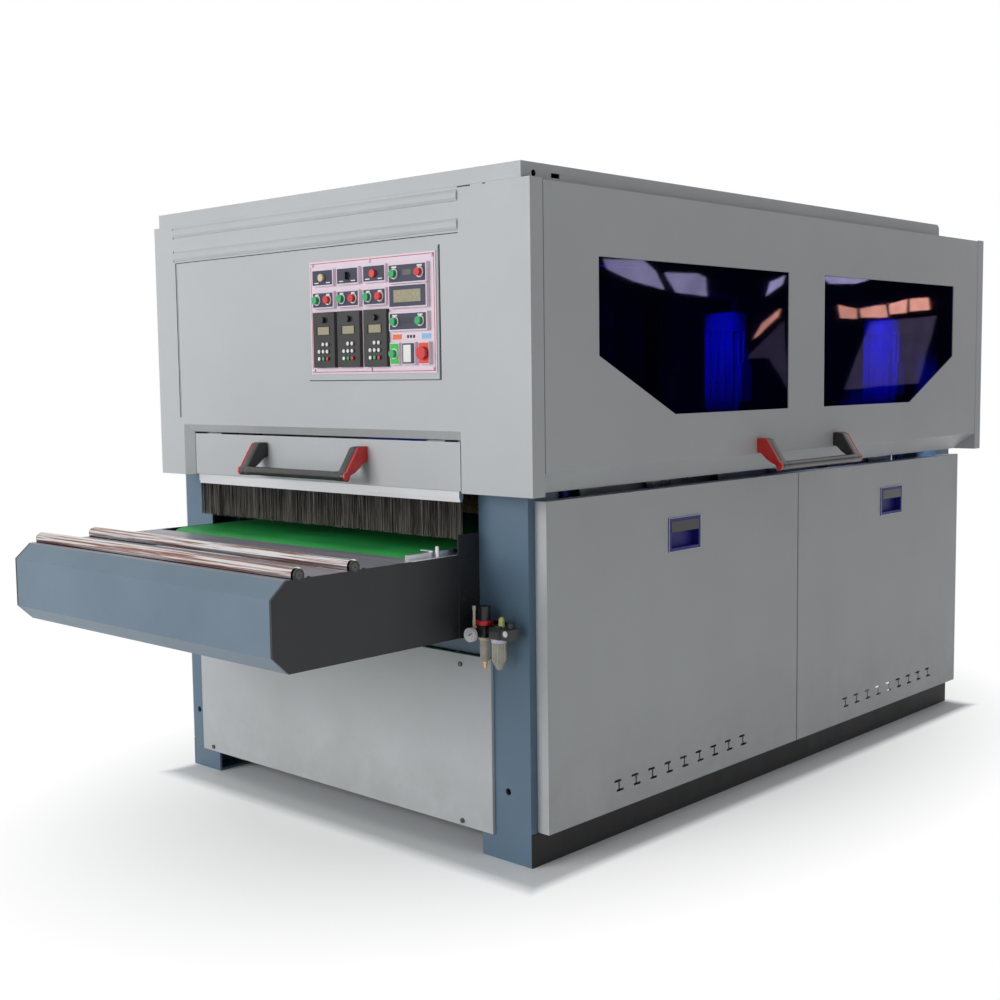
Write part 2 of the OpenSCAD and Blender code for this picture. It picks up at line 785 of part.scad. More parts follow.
module front_hatch() {
  color(paint) {
    block([hatch_in_x0, hatch_face_y, hatch_z0], [hatch_in_x1, hatch_face_y + sheet_t, hatch_top]);
    for (i = [0, 1]) {
      x = hatch_hinge_x(i);
      half = hatch_barrel_l / 2;
      difference() {
        union() {
          rod_x(x - half, x + half, hatch_pin_y, hatch_pin_z, hatch_lug_r);
          block([x - half, hatch_face_y + sheet_t / 2, hatch_pin_z - hatch_lug_r],
                [x + half, hatch_pin_y, hatch_top]);
        }
        rod_x(x - half - cut, x + half + cut, hatch_pin_y, hatch_pin_z, hatch_pin_r + run_gap);
      }
    }
    block([hatch_in_x0, hatch_face_y, hatch_z0], [hatch_in_x1, hatch_face_y + 3 * sheet_t, hatch_z0 + sheet_t]);
  }
}

hatch_handle_share = 0.49;
hatch_handle_down = 40;
hatch_handle_x = hatch_x0 + hatch_handle_share * (hatch_x1 - hatch_x0);
hatch_handle_z = hatch_pin_z - hatch_handle_down;

module front_handle() {
  color(handle_black) translate([hatch_handle_x, hatch_face_y, hatch_handle_z]) pull_handle();
}

window_l = (body_l - window_gap) / 2 - window_end;
window_mid = front_y + body_l / 2 + window_shift;
window_top = housing_top - window_down;
window_bottom = door_fold_z + window_up;
window_knee = window_bottom + window_knee_share * (window_top - window_bottom);

// Window outline in Y and Z for the front (0) or rear (1) window, grown by lap
module window_outline(which, lap) {
  sign = which == 0 ? -1 : 1;
  far = window_mid + sign * (window_gap / 2 + window_l + lap);
  near = window_mid + sign * (window_gap / 2 - lap);
  knee = window_knee - lap / 2;
  slant = far - sign * (window_slant_share * window_l + lap / 2);
  polygon([
    [far, window_top + lap],
    [near, window_top + lap],
    [near, window_bottom - lap],
    [slant, window_bottom - lap],
    [far, knee]
  ]);
}

bevel_x = side_x - bevel_in;

// Outline in X and Z of the bent right door sheet
module right_door_sheet() {
  polygon([
    [side_x, door_z1],
    [side_x, door_fold_z],
    [bevel_x, housing_bottom],
    [bevel_x, housing_bottom + sheet_t * 4 / 3],
    [side_x - sheet_t, door_fold_z + sheet_t / 2],
    [side_x - sheet_t, door_z1]
  ]);
}

// Outline in X and Z of the right door ends
module right_door_end() {
  polygon([
    [side_x, door_z1],
    [side_x, door_fold_z],
    [bevel_x, housing_bottom],
    [bevel_x, housing_bottom + door_edge_d / 3],
    [side_x - door_edge_d, door_fold_z],
    [side_x - door_edge_d, door_z1]
  ]);
}

// The left door passes in front of the left columns, so its folded edges are shallow
left_edge_d = column_left_inset - free_gap;

module door_end_outline_left() {
  translate([side_x - left_edge_d, housing_bottom + sheet_gap])
    square([left_edge_d, door_z1 - housing_bottom - sheet_gap]);
}

module right_door() {
  color(paint) {
    difference() {
      along_y(door_y0, door_y1) right_door_sheet();
      for (w = [0, 1])
        along_x(side_x - sheet_t - cut, side_x + cut) window_outline(w, 0);
    }
    for (y = [door_y0, door_y1 - sheet_t])
      along_y(y, y + sheet_t) right_door_end();
    door_barrels();
  }
}

module left_door() {
  color(paint) mirror([1, 0, 0]) {
    difference() {
      block([side_x - sheet_t, door_y0, housing_bottom + sheet_gap], [side_x, door_y1, door_z1]);
      for (w = [0, 1])
        along_x(side_x - sheet_t - cut, side_x + cut) window_outline(w, 0);
    }
    for (y = [door_y0, door_y1 - sheet_t])
      along_y(y, y + sheet_t) door_end_outline_left();
    block([side_x - left_edge_d, door_y0, housing_bottom + sheet_gap],
          [side_x, door_y1, housing_bottom + sheet_gap + sheet_t]);
    door_barrels();
  }
}

module door_windows() {
  for (w = [0, 1])
    along_x(side_x - sheet_t - pane_t, side_x - sheet_t) window_outline(w, pane_lap);
}

module right_windows() {
  color([0.05, 0.05, 0.25, 0.5]) door_windows();
}

module left_windows() {
  color([0.05, 0.05, 0.25, 0.5]) mirror([1, 0, 0]) door_windows();
}

side_handle_share = 0.487;
side_handle_y = front_y + side_handle_share * body_l;
side_handle_z = door_fold_z + handle_foot_h / 2 + sheet_gap;

module side_handle() {
  translate([side_x, side_handle_y, side_handle_z]) rotate([0, 0, 90]) pull_handle();
}

module right_handle() {
  color(handle_black) side_handle();
}

module left_handle() {
  color(handle_black) mirror([1, 0, 0]) side_handle();
}

panel_x0 = column_x1 + free_gap;
panel_x1 = column_x1 + panel_t;
panel_y0 = frame_y0 + panel_setback;
panel_mid_y = left_split_y;
pull_y = [front_y + pull_front_share * body_l, front_y + pull_rear_share * body_l];
panel_y1 = rear_y - 3 * sheet_gap;

// One vent slot: two offset strokes joined by a short riser, seen in Y and Z
module vent_slot() {
  translate([-vent_l / 2, vent_l / 4]) square([vent_l * 3 / 4, vent_w]);
  translate([-vent_l / 4, -vent_l / 4 - vent_w]) square([vent_l * 3 / 4, vent_w]);
  translate([-vent_w / 2, -vent_l / 4 - vent_w]) square([vent_w, vent_l / 2 + 2 * vent_w]);
}

module lift_off_panel(y0, y1, mid) {
  difference() {
    tray_x(panel_x0, panel_x1, y0, y1, panel_z0, panel_z1);
    block([panel_x0, mid - pull_w / 2, panel_z1 - pull_down - pull_h / 2],
          [panel_x1 + cut, mid + pull_w / 2, panel_z1 - pull_down + pull_h / 2]);
    along_x(panel_x1 - sheet_t - cut, panel_x1 + cut)
      for (i = [0 : vent_count - 1])
        translate([mid + (i - (vent_count - 1) / 2) * vent_pitch, panel_z0 + vent_up]) vent_slot();
  }
}

module right_front_panel() {
  color(paint) lift_off_panel(panel_y0, panel_mid_y - sheet_gap, pull_y[0]);
}

module right_rear_panel() {
  color(paint) lift_off_panel(panel_mid_y + sheet_gap, panel_y1, pull_y[1]);
}

pull_lip = 8;

// Recessed pull cup with a front rim and a finger bar across its top
module panel_pull(mid) {
  z = panel_z1 - pull_down;
  hw = pull_w / 2;
  hh = pull_h / 2;
  difference() {
    union() {
      block([panel_x1 - pull_d, mid - hw, z - hh], [panel_x1, mid + hw, z + hh]);
      block([panel_x1, mid - hw - pull_lip, z - hh - pull_lip],
            [panel_x1 + sheet_t, mid + hw + pull_lip, z + hh + pull_lip]);
    }
    block([panel_x1 - pull_d + sheet_t, mid - hw + sheet_t, z - hh + sheet_t],
          [panel_x1 + sheet_t + cut, mid + hw - sheet_t, z + hh - sheet_t]);
  }
  block([panel_x1, mid - hw, z + hh / 3], [panel_x1 + sheet_t, mid + hw, z + hh]);
}

module front_panel_pull() {
  color([0.06, 0.04, 0.45]) panel_pull(pull_y[0]);
}

module rear_panel_pull() {
  color([0.06, 0.04, 0.45]) panel_pull(pull_y[1]);
}

module curtain_rails() {
  color(steel) for (i = [0, 1]) {
    y = curtain_y[i];
    block([curtain_x0, y - curtain_rail_w / 2, curtain_top],
          [curtain_x1, y + curtain_rail_w / 2, curtain_top + curtain_rail_h + sheet_t]);
  }
}

// Repeatable scatter between -1 and 1
function scatter(i, row) = sin(i * 137.5 + row * 71);

// One row of curtain bristles: a comb of leaning strands under a thin root strip
module strand_row(count, row) {
  pitch = (curtain_x1 - curtain_x0) / count;
  w = pitch * strand_fill_share;
  comb_z = curtain_top - strand_root / 2;
  points = [for (i = [0 : count - 1])
    let (
      x = curtain_x0 + (i + 0.5) * pitch,
      lean = pitch * strand_lean_share * scatter(i, row),
      tip = curtain_top - curtain_l * (1 - strand_length_share * (1 + scatter(3 * i, row)) / 2)
    )
    each [
      [x - w / 2, comb_z],
      [x - w / 2 + lean, tip],
      [x + w / 2 + lean, tip],
      [x + w / 2, comb_z]
    ]
  ];
  polygon(concat([[curtain_x0 + 1, comb_z + 1], [curtain_x0 + 1, comb_z]], points,
                 [[curtain_x1 - 1, comb_z], [curtain_x1 - 1, comb_z + 1]]));
}

module curtain(i, count) {
  y0 = curtain_y[i] - row_pitch;
  block([curtain_x0, y0, curtain_top - strand_root], [curtain_x1, y0 + 2 * row_pitch, curtain_top]);
  for (row = [0 : strand_rows - 1])
    translate([0, y0 + (row + 0.5) * row_pitch, 0])
      along_y(0, strand_t) strand_row(count, row);
}

module front_curtain() {
  color([0.30, 0.28, 0.26]) curtain(0, front_strands);
}

module rear_curtain() {
  color([0.30, 0.28, 0.26]) curtain(1, rear_strands);
}

// Outline in Y and Z of the table sides
module table_side_outline() {
  z1 = table_z;
  z0 = table_low;
  face1 = z1 - nose_drop;
  face0 = face1 - nose_h;
  polygon([
    [nose_y0, face0], [nose_y0, face1], [nose_y0 + nose_bevel, z1],
    [nose_y1 - nose_bevel, z1], [nose_y1, face1], [nose_y1, face0],
    [nose_y1 - nose_bevel, z0], [nose_y0 + nose_bevel, z0]
  ]);
}

bracket_in = 41;
bracket_l = 143;
bracket_rise = 57;
bolt_head_t = 4;
bolt_head_r = 7;
// Bolt heads of the bracket plate: distance behind the housing front and below the table top
bracket_bolts = [[89, 9], [84, 79], [69, 100], [65, 125], [111, 128]];

module conveyor_bed() {
  color(charcoal) difference() {
    union() {
      for (x = [table_x0, plate_in_x1])
        along_x(x, x + side_plate_t) table_side_outline();
      // Slider plate under the top run and the ribs inside the belt loop
      block([plate_in_x0, tail_y + drum_r, table_z - bed_plate_t],
            [plate_in_x1, drive_y - drum_r, table_z - free_gap]);
      for (i = [0 : rib_count - 1]) {
        y = tail_y + drum_r + rib_in + i * rib_pitch;
        block([plate_in_x0, y, table_z - bed_plate_t - rib_h], [plate_in_x1, y + rib_t, table_z - bed_plate_t]);
      }
      // Cross tubes below the lower run
      for (y = [nose_y0 + infeed_reach / 2, beam_y[0], beam_y[1], nose_y1 - outfeed_reach / 2])
        block([plate_in_x0, y, table_low], [plate_in_x1, y + cross_tube_w, table_low + cross_tube_w]);
      // Bearing pads of the two drums
      for (y = [tail_y, drive_y])
        for (x = [plate_in_x0, plate_in_x1 - bearing_pad_t])
          block([x, y - drum_shaft_r * 2, drum_z - drum_shaft_r * 2],
                [x + bearing_pad_t, y + drum_shaft_r * 2, drum_z + drum_shaft_r * 2]);
      // Bracket plate between the table side and the right front column, with its bolt heads
      block([table_x1, front_y + bracket_in, table_low],
            [column_x0, front_y + bracket_in + bracket_l, table_z + bracket_rise]);
      for (p = bracket_bolts)
        rod_x(column_x0, column_x0 + bolt_head_t, front_y + p[0], table_z - p[1], bolt_head_r);
      // Ears of the support rollers
      for (y = support_y)
        for (x = [table_x0, table_x1 - ear_t]) {
          rod_x(x, x + ear_t, y, support_z, ear_r);
          block([x, y - ear_r, table_z - sheet_t], [x + ear_t, y + ear_r, support_z]);
        }
    }
    for (y = [tail_y, drive_y]) {
      rod_x(plate_in_x0 + sheet_t, plate_in_x0 + bearing_pad_t + cut, y, drum_z, drum_shaft_r + run_gap);
      rod_x(plate_in_x1 - bearing_pad_t - cut, plate_in_x1 - sheet_t, y, drum_z, drum_shaft_r + run_gap);
    }
    rod_x(table_x0 - cut, plate_in_x0 + bearing_pad_t, drive_y, drum_z, drum_shaft_r + run_gap);
    for (y = support_y)
      for (x = [table_x0, table_x1 - ear_t])
        rod_x(x - cut, x + ear_t + cut, y, support_z, support_axle_r + run_gap);
  }
}

// Bent cover of one table end in Y and Z, drawn for the infeed end
module nose_outline(inner_end) {
  z1 = table_z;
  z0 = table_low;
  face1 = z1 - nose_drop;
  face0 = face1 - nose_h;
  t = sheet_t;
  polygon([
    [nose_y0, face0], [nose_y0, face1], [nose_y0 + nose_bevel, z1], [inner_end, z1],
    [inner_end, z1 - t], [nose_y0 + nose_bevel + t / 2, z1 - t], [nose_y0 + t, face1 - t / 2],
    [nose_y0 + t, face0 + t / 2], [nose_y0 + nose_bevel + t / 2, z0 + t], [nose_y0 + 2 * nose_bevel, z0 + t],
    [nose_y0 + 2 * nose_bevel, z0], [nose_y0 + nose_bevel, z0]
  ]);
}

module nose_covers() {
  gap_y = tail_y - drum_r - belt_t - sheet_gap;
  color(frame_blue) {
    difference() {
      along_x(plate_in_x0, plate_in_x1) nose_outline(gap_y);
      for (y = support_y)
        block([plate_in_x0 - cut, y - support_r, table_z - 2 * sheet_t],
              [plate_in_x1 + cut, y + support_r, table_z + cut]);
    }
    along_x(plate_in_x0, plate_in_x1) mirror([1, 0]) nose_outline(-(drive_y + drum_r + belt_t + sheet_gap));
  }
}

// Closed belt loop in Y and Z with the given radius over the drums
module belt_outline(r) {
  translate([tail_y, drum_z]) circle(r, $fn = 96);
  translate([drive_y, drum_z]) circle(r, $fn = 96);
  translate([tail_y, drum_z - r]) square([drive_y - tail_y, 2 * r]);
}

module conveyor_belt() {
  color(belt_green) difference() {
    along_x(belt_x0, belt_x1) belt_outline(drum_r + belt_t);
    along_x(belt_x0 - cut, belt_x1 + cut) belt_outline(drum_r + free_gap / 3);
  }
}

module drum(y) {
  rod_x(belt_x0 + sheet_gap, belt_x1 - sheet_gap, y, drum_z, drum_r);
  rod_x(plate_in_x0 + sheet_t + free_gap, plate_in_x1 - sheet_t - free_gap, y, drum_z, drum_shaft_r);
}

gearbox_x = 100;
gearbox_y = 110;
gearbox_y0 = rear_y + sheet_t;
gearmotor_l = 280;

module drive_roller() {
  color(steel) {
    drum(drive_y);
    rod_x(table_x0 - gearbox_x, plate_in_x0 + bearing_pad_t, drive_y, drum_z, drum_shaft_r);
  }
}

module tail_roller() {
  color(steel) drum(tail_y);
}

module conveyor_gearmotor() {
  x1 = table_x0;
  x0 = x1 - gearbox_x;
  box_low = drum_z - gearbox_y / 2;
  mid = (x0 + x1) / 2;
  motor_y = gearbox_y0 + gearbox_y / 2;
  color(motor_blue) difference() {
    union() {
      block([x0, gearbox_y0, box_low], [x1, gearbox_y0 + gearbox_y, drum_z + gearbox_y / 2]);
      rod_z(box_low - gearmotor_l, box_low, mid, motor_y, gearbox_x * 0.44);
      rod_z(box_low - mount_plate_t, box_low, mid, motor_y, gearbox_x / 2);
      rod_z(box_low - gearmotor_l, box_low - gearmotor_l + cowl_h, mid, motor_y, gearbox_x / 2);
    }
    rod_x(x0 - cut, x1 + cut, drive_y, drum_z, drum_shaft_r + run_gap);
  }
}

module support_roller(i) {
  rod_x(plate_in_x0 + free_gap, plate_in_x1 - free_gap, support_y[i], support_z, support_r);
  rod_x(table_x0, table_x1, support_y[i], support_z, support_axle_r);
}

module support_roller_front() {
  color(steel) support_roller(0);
}

module support_roller_rear() {
  color(steel) support_roller(1);
}

guide_in = 70;
guide_l = 200;
guide_w = 22;
guide_h = 16;

module belt_guide() {
  y1 = front_y + guide_in;
  y0 = y1 - guide_l;
  color(steel) {
    block([plate_in_x1 - guide_w, y0, table_z], [table_x1, y1, table_z + sheet_t]);
    block([plate_in_x1 - guide_w, y0, table_z + sheet_t], [plate_in_x1 - guide_w / 2, y1, table_z + guide_h]);
    rod_z(table_z + sheet_t, table_z + 2 * guide_h, plate_in_x1, y0 + guide_l / 2, guide_w / 4);
    block([belt_x1 - guide_w, y0 + guide_l / 2 - guide_w / 3, table_z + guide_h],
          [plate_in_x1 - guide_w / 2, y0 + guide_l / 2 + guide_w / 3, table_z + guide_h + sheet_t]);
  }
}

module brush_cowl(y) {
  along_x(carriage_x0 + beam_w - sheet_t, carriage_x1 - beam_w + sheet_t) difference() {
    translate([y, brush_z]) circle(cowl_r + sheet_t);
    translate([y, brush_z]) circle(cowl_r);
    translate([y - 2 * cowl_r, brush_z - 2 * cowl_r]) square([4 * cowl_r, 2 * cowl_r]);
  }
}

module brush_carriage() {
  z0 = brush_z - beam_h / 2;
  z1 = brush_z + beam_h / 2;
  color([0.55, 0.57, 0.58]) difference() {
    union() {
      for (x = [carriage_x0, carriage_x1 - beam_w])
        block([x, carriage_y0, z0], [x + beam_w, carriage_y1, z1]);
      for (y = [carriage_y0, carriage_y1 - beam_w / 2])
        block([carriage_x0, y, brush_z], [carriage_x1, y + beam_w / 2, z1]);
      for (i = [0 : brush_count - 1])
        brush_cowl(brush_y(i));
      for (x = jack_x)
        for (y = jack_y) {
          lo = x < 0 ? x - nut_plate_w / 2 : carriage_x1 - beam_w / 2;
          hi = x < 0 ? carriage_x0 + beam_w / 2 : x + nut_plate_w / 2;
          block([lo, y - nut_plate_w / 2, nut_z], [hi, y + nut_plate_w / 2, z1]);
        }
      // Brackets of the brush motors
      for (i = motor_brushes) {
        y = brush_y(i);
        block([carriage_x1 - beam_w / 2, y - gearbox_w / 2, z1 - mount_plate_t],
              [motor_x + gearbox_w / 2, y + gearbox_w / 2, z1]);
      }
    }
    for (i = [0 : brush_count - 1])
      rod_x(carriage_x0 - cut, carriage_x1 + cut, brush_y(i), brush_z, brush_shaft_r + run_gap);
    for (x = jack_x)
      for (y = jack_y)
        rod_z(nut_z - cut, z1 + cut, x, y, screw_r + run_gap);
  }
}

conduit_r = 14;
conduit_h = 60;
conduit_in = 40;
conduit_l = 150;

module brush_motors() {
  z1 = brush_z + beam_h / 2;
  color(motor_blue) for (i = motor_brushes) {
    y = brush_y(i);
    top = z1 + gearbox_h + motor_h;
    fin_z0 = z1 + gearbox_h + mount_plate_t;
    fin_z1 = top - cowl_h;
    block([motor_x - gearbox_w / 2, y - gearbox_w / 2, z1],
          [motor_x + gearbox_w / 2, y + gearbox_w / 2, z1 + gearbox_h]);
    rod_z(z1 + gearbox_h, top, motor_x, y, motor_r - fin_h);
    along_z(fin_z0, fin_z1)
      for (k = [0 : fin_count - 1])
        translate([motor_x, y]) rotate(k * 360 / fin_count) translate([0, -fin_w / 2]) square([motor_r, fin_w]);
    rod_z(fin_z1, top, motor_x, y, motor_r);
    rod_z(z1 + gearbox_h, fin_z0, motor_x, y, motor_r);
    // Junction box
    block([motor_x + motor_r - fin_h - cut, y - gearbox_w / 3, fin_z0 + (fin_z1 - fin_z0) / 4],
          [motor_x + motor_r + fin_h, y + gearbox_w / 3, fin_z0 + (fin_z1 - fin_z0) * 2 / 3]);
    // Rigid cable conduit bent over the motor
    rod_z(top, top + conduit_h, motor_x, y + conduit_in, conduit_r);
    rod_y(y + conduit_in - conduit_l, y + conduit_in + conduit_r, motor_x, top + conduit_h, conduit_r);
  }
}

// Belt loop over the two pulleys of one pair, in Y and Z
module pair_outline(i, r) {
  ya = brush_y(2 * i);
  yb = brush_y(2 * i + 1);
  translate([ya, brush_z]) circle(r);
  translate([yb, brush_z]) circle(r);
  translate([ya, brush_z - r]) square([yb - ya, 2 * r]);
}

module brush_belts() {
  color(handle_black) for (i = [0 : 2])
    difference() {
      along_x(pulley_x0 + sheet_t, pulley_x0 + pulley_w - sheet_t) pair_outline(i, pulley_r + drive_belt_t);
      along_x(pulley_x0 + sheet_t - cut, pulley_x0 + pulley_w - sheet_t + cut)
        pair_outline(i, pulley_r + free_gap / 3);
    }
}

module lift_jacks() {
  z0 = side_rail_z + rail_h;
  color(motor_blue) for (x = jack_x)
    for (y = jack_y) {
      rod_z(z0, z0 + screw_len, x, y, screw_r);
      block([x - jack_box / 2, y - jack_box / 2, z0], [x + jack_box / 2, y + jack_box / 2, z0 + sheet_t * 4]);
    }
}

module brush(i) {
  step = 360 / brush_strips;
  half = step * strip_share / 2;
  color([0.62, 0.50, 0.30]) {
    rod_x(brush_x0, brush_x1, brush_y(i), brush_z, brush_core_r);
    along_x(brush_x0, brush_x1) translate([brush_y(i), brush_z])
      for (k = [0 : brush_strips - 1])
        rotate(k * step) polygon([
          [0, 0],
          [brush_r * cos(half), -brush_r * sin(half)],
          [brush_r, 0],
          [brush_r * cos(half), brush_r * sin(half)]
        ]);
    rod_x(carriage_x0, pulley_x0 + pulley_w, brush_y(i), brush_z, brush_shaft_r);
    rod_x(pulley_x0, pulley_x0 + pulley_w, brush_y(i), brush_z, pulley_r);
  }
}

// Filter, regulator and lubricator on the front of the right column
air_in = 60;
air_out = 44;
air_down = 209;
air_x = column_x0 + air_in;
air_y = frame_y0 - air_out;
air_z = table_z - air_down;
air_w = 40;
air_h = 34;
air_pitch = 54;
filter_r = 15;
filter_h = 70;
drain_r = 5;
drain_h = 23;
oiler_r = 21;
oiler_h = 61;
oiler_tip_r = 8;
oiler_tip_h = 25;
gauge_r = 20;
gauge_t = 17;
gauge_out = 25;
gauge_left = 18;
gauge_down = 9;
fitting_r = 5;
fitting_h = 52;
fitting_left = 23;
fitting_down = 6;
dome_r = 10;
dome_h = 29;
ring_r = 22;
ring_h = 12;
knob_r = 17;
knob_h = 52;
inlet_r = 6.6;
inlet_l = 12;
inlet_x = air_x + 2 * air_pitch + air_w / 8;

module air_unit() {
  y0 = air_y - air_w / 2;
  z0 = air_z - air_h / 2;
  z1 = air_z + air_h / 2;
  oiler_x = air_x + air_pitch;
  color(handle_black) difference() {
    union() {
      for (x = [air_x, oiler_x])
        block([x - air_w / 2, y0, z0], [x + air_w / 2, y0 + air_w, z1]);
      block([oiler_x + air_w / 2, y0, z0], [inlet_x, y0 + air_w, z1]);
      rod_x(air_x, oiler_x, air_y, air_z, air_h / 3);
      block([air_x, air_y, air_z - air_h / 4], [oiler_x, frame_y0, air_z + air_h / 4]);
      // Filter bowl with its drain, and oiler bowl with its tapered end
      rod_z(z0 - filter_h, z0, air_x, air_y, filter_r);
      rod_z(z0 - filter_h - drain_h, z0 - filter_h, air_x, air_y, drain_r);
      translate([oiler_x, air_y, z0 - oiler_h - oiler_tip_h]) rotate_extrude() polygon([
        [0, 0],
        [oiler_tip_r, 0],
        [oiler_r, oiler_tip_h],
        [oiler_r, oiler_tip_h + oiler_h],
        [0, oiler_tip_h + oiler_h]
      ]);
      // Gauge, angled fitting and sight dome
      rod_y(y0 - gauge_out, y0 + cut, air_x - gauge_left, air_z - gauge_down, gauge_r / 3);
      rod_y(y0 - gauge_out, y0 - gauge_out + gauge_t, air_x - gauge_left, air_z - gauge_down, gauge_r);
      rod_z(z1 - fitting_down - fitting_r, z1 + fitting_h, air_x - fitting_left, y0 + fitting_r / 2, fitting_r);
      rod_x(air_x - fitting_left, air_x - air_w / 3, y0 + fitting_r / 2, z1 - fitting_down, fitting_r);
      rod_z(z1, z1 + dome_h, oiler_x + dome_r, air_y, dome_r);
    }
    rod_x(inlet_x - inlet_l, inlet_x + cut, air_y, air_z, inlet_r);
  }
}

module regulator_knob() {
  z0 = air_z + air_h / 2 + free_gap;
  color("crimson") {
    rod_z(z0, z0 + ring_h, air_x, air_y, ring_r);
    rod_z(z0, z0 + knob_h, air_x, air_y, knob_r);
  }
}

function plate_at_x(share) = plate_x0 + share * plate_w;
function plate_at_z(share) = plate_z0 + share * plate_h;

// Rectangular block on the control plate, centred on shares of the plate
module control_block(xs, zs, w, h, t) {
  x = plate_at_x(xs);
  z = plate_at_z(zs);
  block([x - w / 2, plate_face - t, z - h / 2], [x + w / 2, plate_face, z + h / 2]);
}

stop_block_w_shares = [0.071, 0.101, 0.079];
stop_block_h_share = 0.188;
plate_screw_r = 5;

module control_plate() {
  color([0.93, 0.88, 0.89]) {
    difference() {
      union() {
        block([plate_x0, plate_face, plate_z0], [plate_x1, front_y, plate_z1]);
        for (s = column_share) {
          control_block(s, row_share[0], block_w, block_h, block_t);
          control_block(s, row_share[1], block_w, pair_h, block_t);
        }
        for (k = [0 : 2]) {
          control_block(wide_share, wide_row_share[k], wide_w, wide_h_shares[k] * plate_h, block_t);
          control_block(stop_share[k], stop_row_share, stop_block_w_shares[k] * plate_w,
                        stop_block_h_share * plate_h, block_t);
        }
      }
      for (b = BUTTONS)
        rod_y(block_face - cut, plate_face - sheet_t / 2, plate_at_x(b[0]) + b[1], plate_at_z(b[2]),
              b[3] * stem_share + run_gap);
      rod_y(block_face - cut, plate_face - sheet_t / 2, plate_at_x(column_share[1]), plate_at_z(row_share[0]),
            button_r * stem_share + run_gap);
    }
    for (sx = [0.025, 0.5, 0.975])
      for (sz = [0.035, 0.965])
        rod_y(plate_face - screw_head_t, plate_face, plate_at_x(sx), plate_at_z(sz), plate_screw_r);
  }
}

module pilot_lamps() {
  color("tomato") for (s = [column_share[0], column_share[2]])
    rod_y(block_face - cap_t, block_face, plate_at_x(s), plate_at_z(row_share[0]), button_r);
}

keypad_knob_r = 9;
key_r = 4.5;

module drive_keypads() {
  color([0.15, 0.15, 0.17]) for (s = column_share) {
    x = plate_at_x(s);
    z = plate_at_z(row_share[2]);
    difference() {
      control_block(s, row_share[2], block_w, keypad_h, block_t);
      block([x - block_w / 3, block_face - cut, z + keypad_h * 0.08],
            [x + block_w / 3, block_face + sheet_t / 3, z + keypad_h * 0.25]);
    }
    rod_y(block_face - cap_t, block_face, x, z + keypad_h * 0.36, keypad_knob_r);
    for (row = [0 : 2])
      for (col = [0 : 2])
        if (row > 0 || col > 0)
          rod_y(block_face - sheet_t, block_face, x + (col - 1) * 4 * key_r,
                z - keypad_h * (0.08 + 0.13 * row), key_r);
  }
}

module mode_selector() {
  x = plate_at_x(column_share[1]);
  z = plate_at_z(row_share[0]);
  color(handle_black) {
    rod_y(block_face - free_gap - sheet_t, block_face - free_gap, x, z, button_r);
    rod_y(block_face - free_gap, plate_face - sheet_t, x, z, button_r * stem_share);
    block([x - button_r / 3, block_face - cap_t - sheet_t, z - button_r],
          [x + button_r / 3, block_face - free_gap, z + button_r]);
  }
}

module button(i) {
  b = BUTTONS[i];
  x = plate_at_x(b[0]) + b[1];
  z = plate_at_z(b[2]);
  face = block_face - button_travel - free_gap;
  color(BUTTON_COLORS[i]) {
    rod_y(face - cap_t, face, x, z, b[3]);
    rod_y(face - cut, plate_face - sheet_t / 2 - button_travel - free_gap, x, z, b[3] * stem_share);
  }
}

base_frame();
kick_plates();
front_base_cover();
rear_and_left_covers();
cover_screws();
front_hood();
rear_hood();
roof_cover();
front_hatch();
front_handle();
right_door();
right_windows();
right_handle();
left_door();
left_windows();
left_handle();
right_front_panel();
right_rear_panel();
front_panel_pull();
rear_panel_pull();
curtain_rails();
front_curtain();
rear_curtain();
conveyor_bed();
nose_covers();
conveyor_belt();
drive_roller();
tail_roller();
conveyor_gearmotor();
support_roller_front();
support_roller_rear();
belt_guide();
brush_carriage();
brush_motors();
brush_belts();
lift_jacks();
brush(0);  // brush_1
brush(1);  // brush_2
brush(2);  // brush_3
brush(3);  // brush_4
brush(4);  // brush_5
brush(5);  // brush_6
air_unit();
regulator_knob();
control_plate();
pilot_lamps();
drive_keypads();
mode_selector();
button(0);  // lamp_row_start
button(1);  // lamp_row_stop
button(2);  // group_1_start
button(3);  // group_1_stop
button(4);  // group_2_start
button(5);  // group_2_stop
button(6);  // group_3_start
button(7);  // group_3_stop
button(8);  // table_up
button(9);  // table_down
button(10);  // feed_start
button(11);  // emergency_stop
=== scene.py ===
"""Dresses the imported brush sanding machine: materials, fine parts, floor, lights and camera."""

import math
import random

import bmesh
import bpy
from mathutils import Matrix, Vector


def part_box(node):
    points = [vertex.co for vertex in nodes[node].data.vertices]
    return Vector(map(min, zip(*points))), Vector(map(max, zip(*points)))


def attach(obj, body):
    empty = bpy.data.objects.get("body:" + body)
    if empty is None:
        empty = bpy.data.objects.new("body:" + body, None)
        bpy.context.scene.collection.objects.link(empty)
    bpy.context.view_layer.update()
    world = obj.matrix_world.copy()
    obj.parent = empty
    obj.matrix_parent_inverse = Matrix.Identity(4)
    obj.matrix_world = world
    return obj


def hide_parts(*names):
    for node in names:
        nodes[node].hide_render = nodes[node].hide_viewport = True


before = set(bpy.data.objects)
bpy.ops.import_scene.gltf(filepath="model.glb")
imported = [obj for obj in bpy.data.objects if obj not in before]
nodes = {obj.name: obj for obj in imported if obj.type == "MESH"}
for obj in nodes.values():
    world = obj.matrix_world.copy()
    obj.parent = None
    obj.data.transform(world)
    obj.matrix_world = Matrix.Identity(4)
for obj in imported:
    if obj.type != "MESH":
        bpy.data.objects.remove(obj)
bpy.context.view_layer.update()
random.seed(7)

MM = 0.001
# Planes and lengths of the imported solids, in millimetres
FRONT_Y = -1245
BODY_L = 2700
BELT_X0, BELT_X1 = -667, 507
BRUSH_COUNT = 6
BRUSH_PITCH = 360
FIRST_BRUSH_Y = -734.5
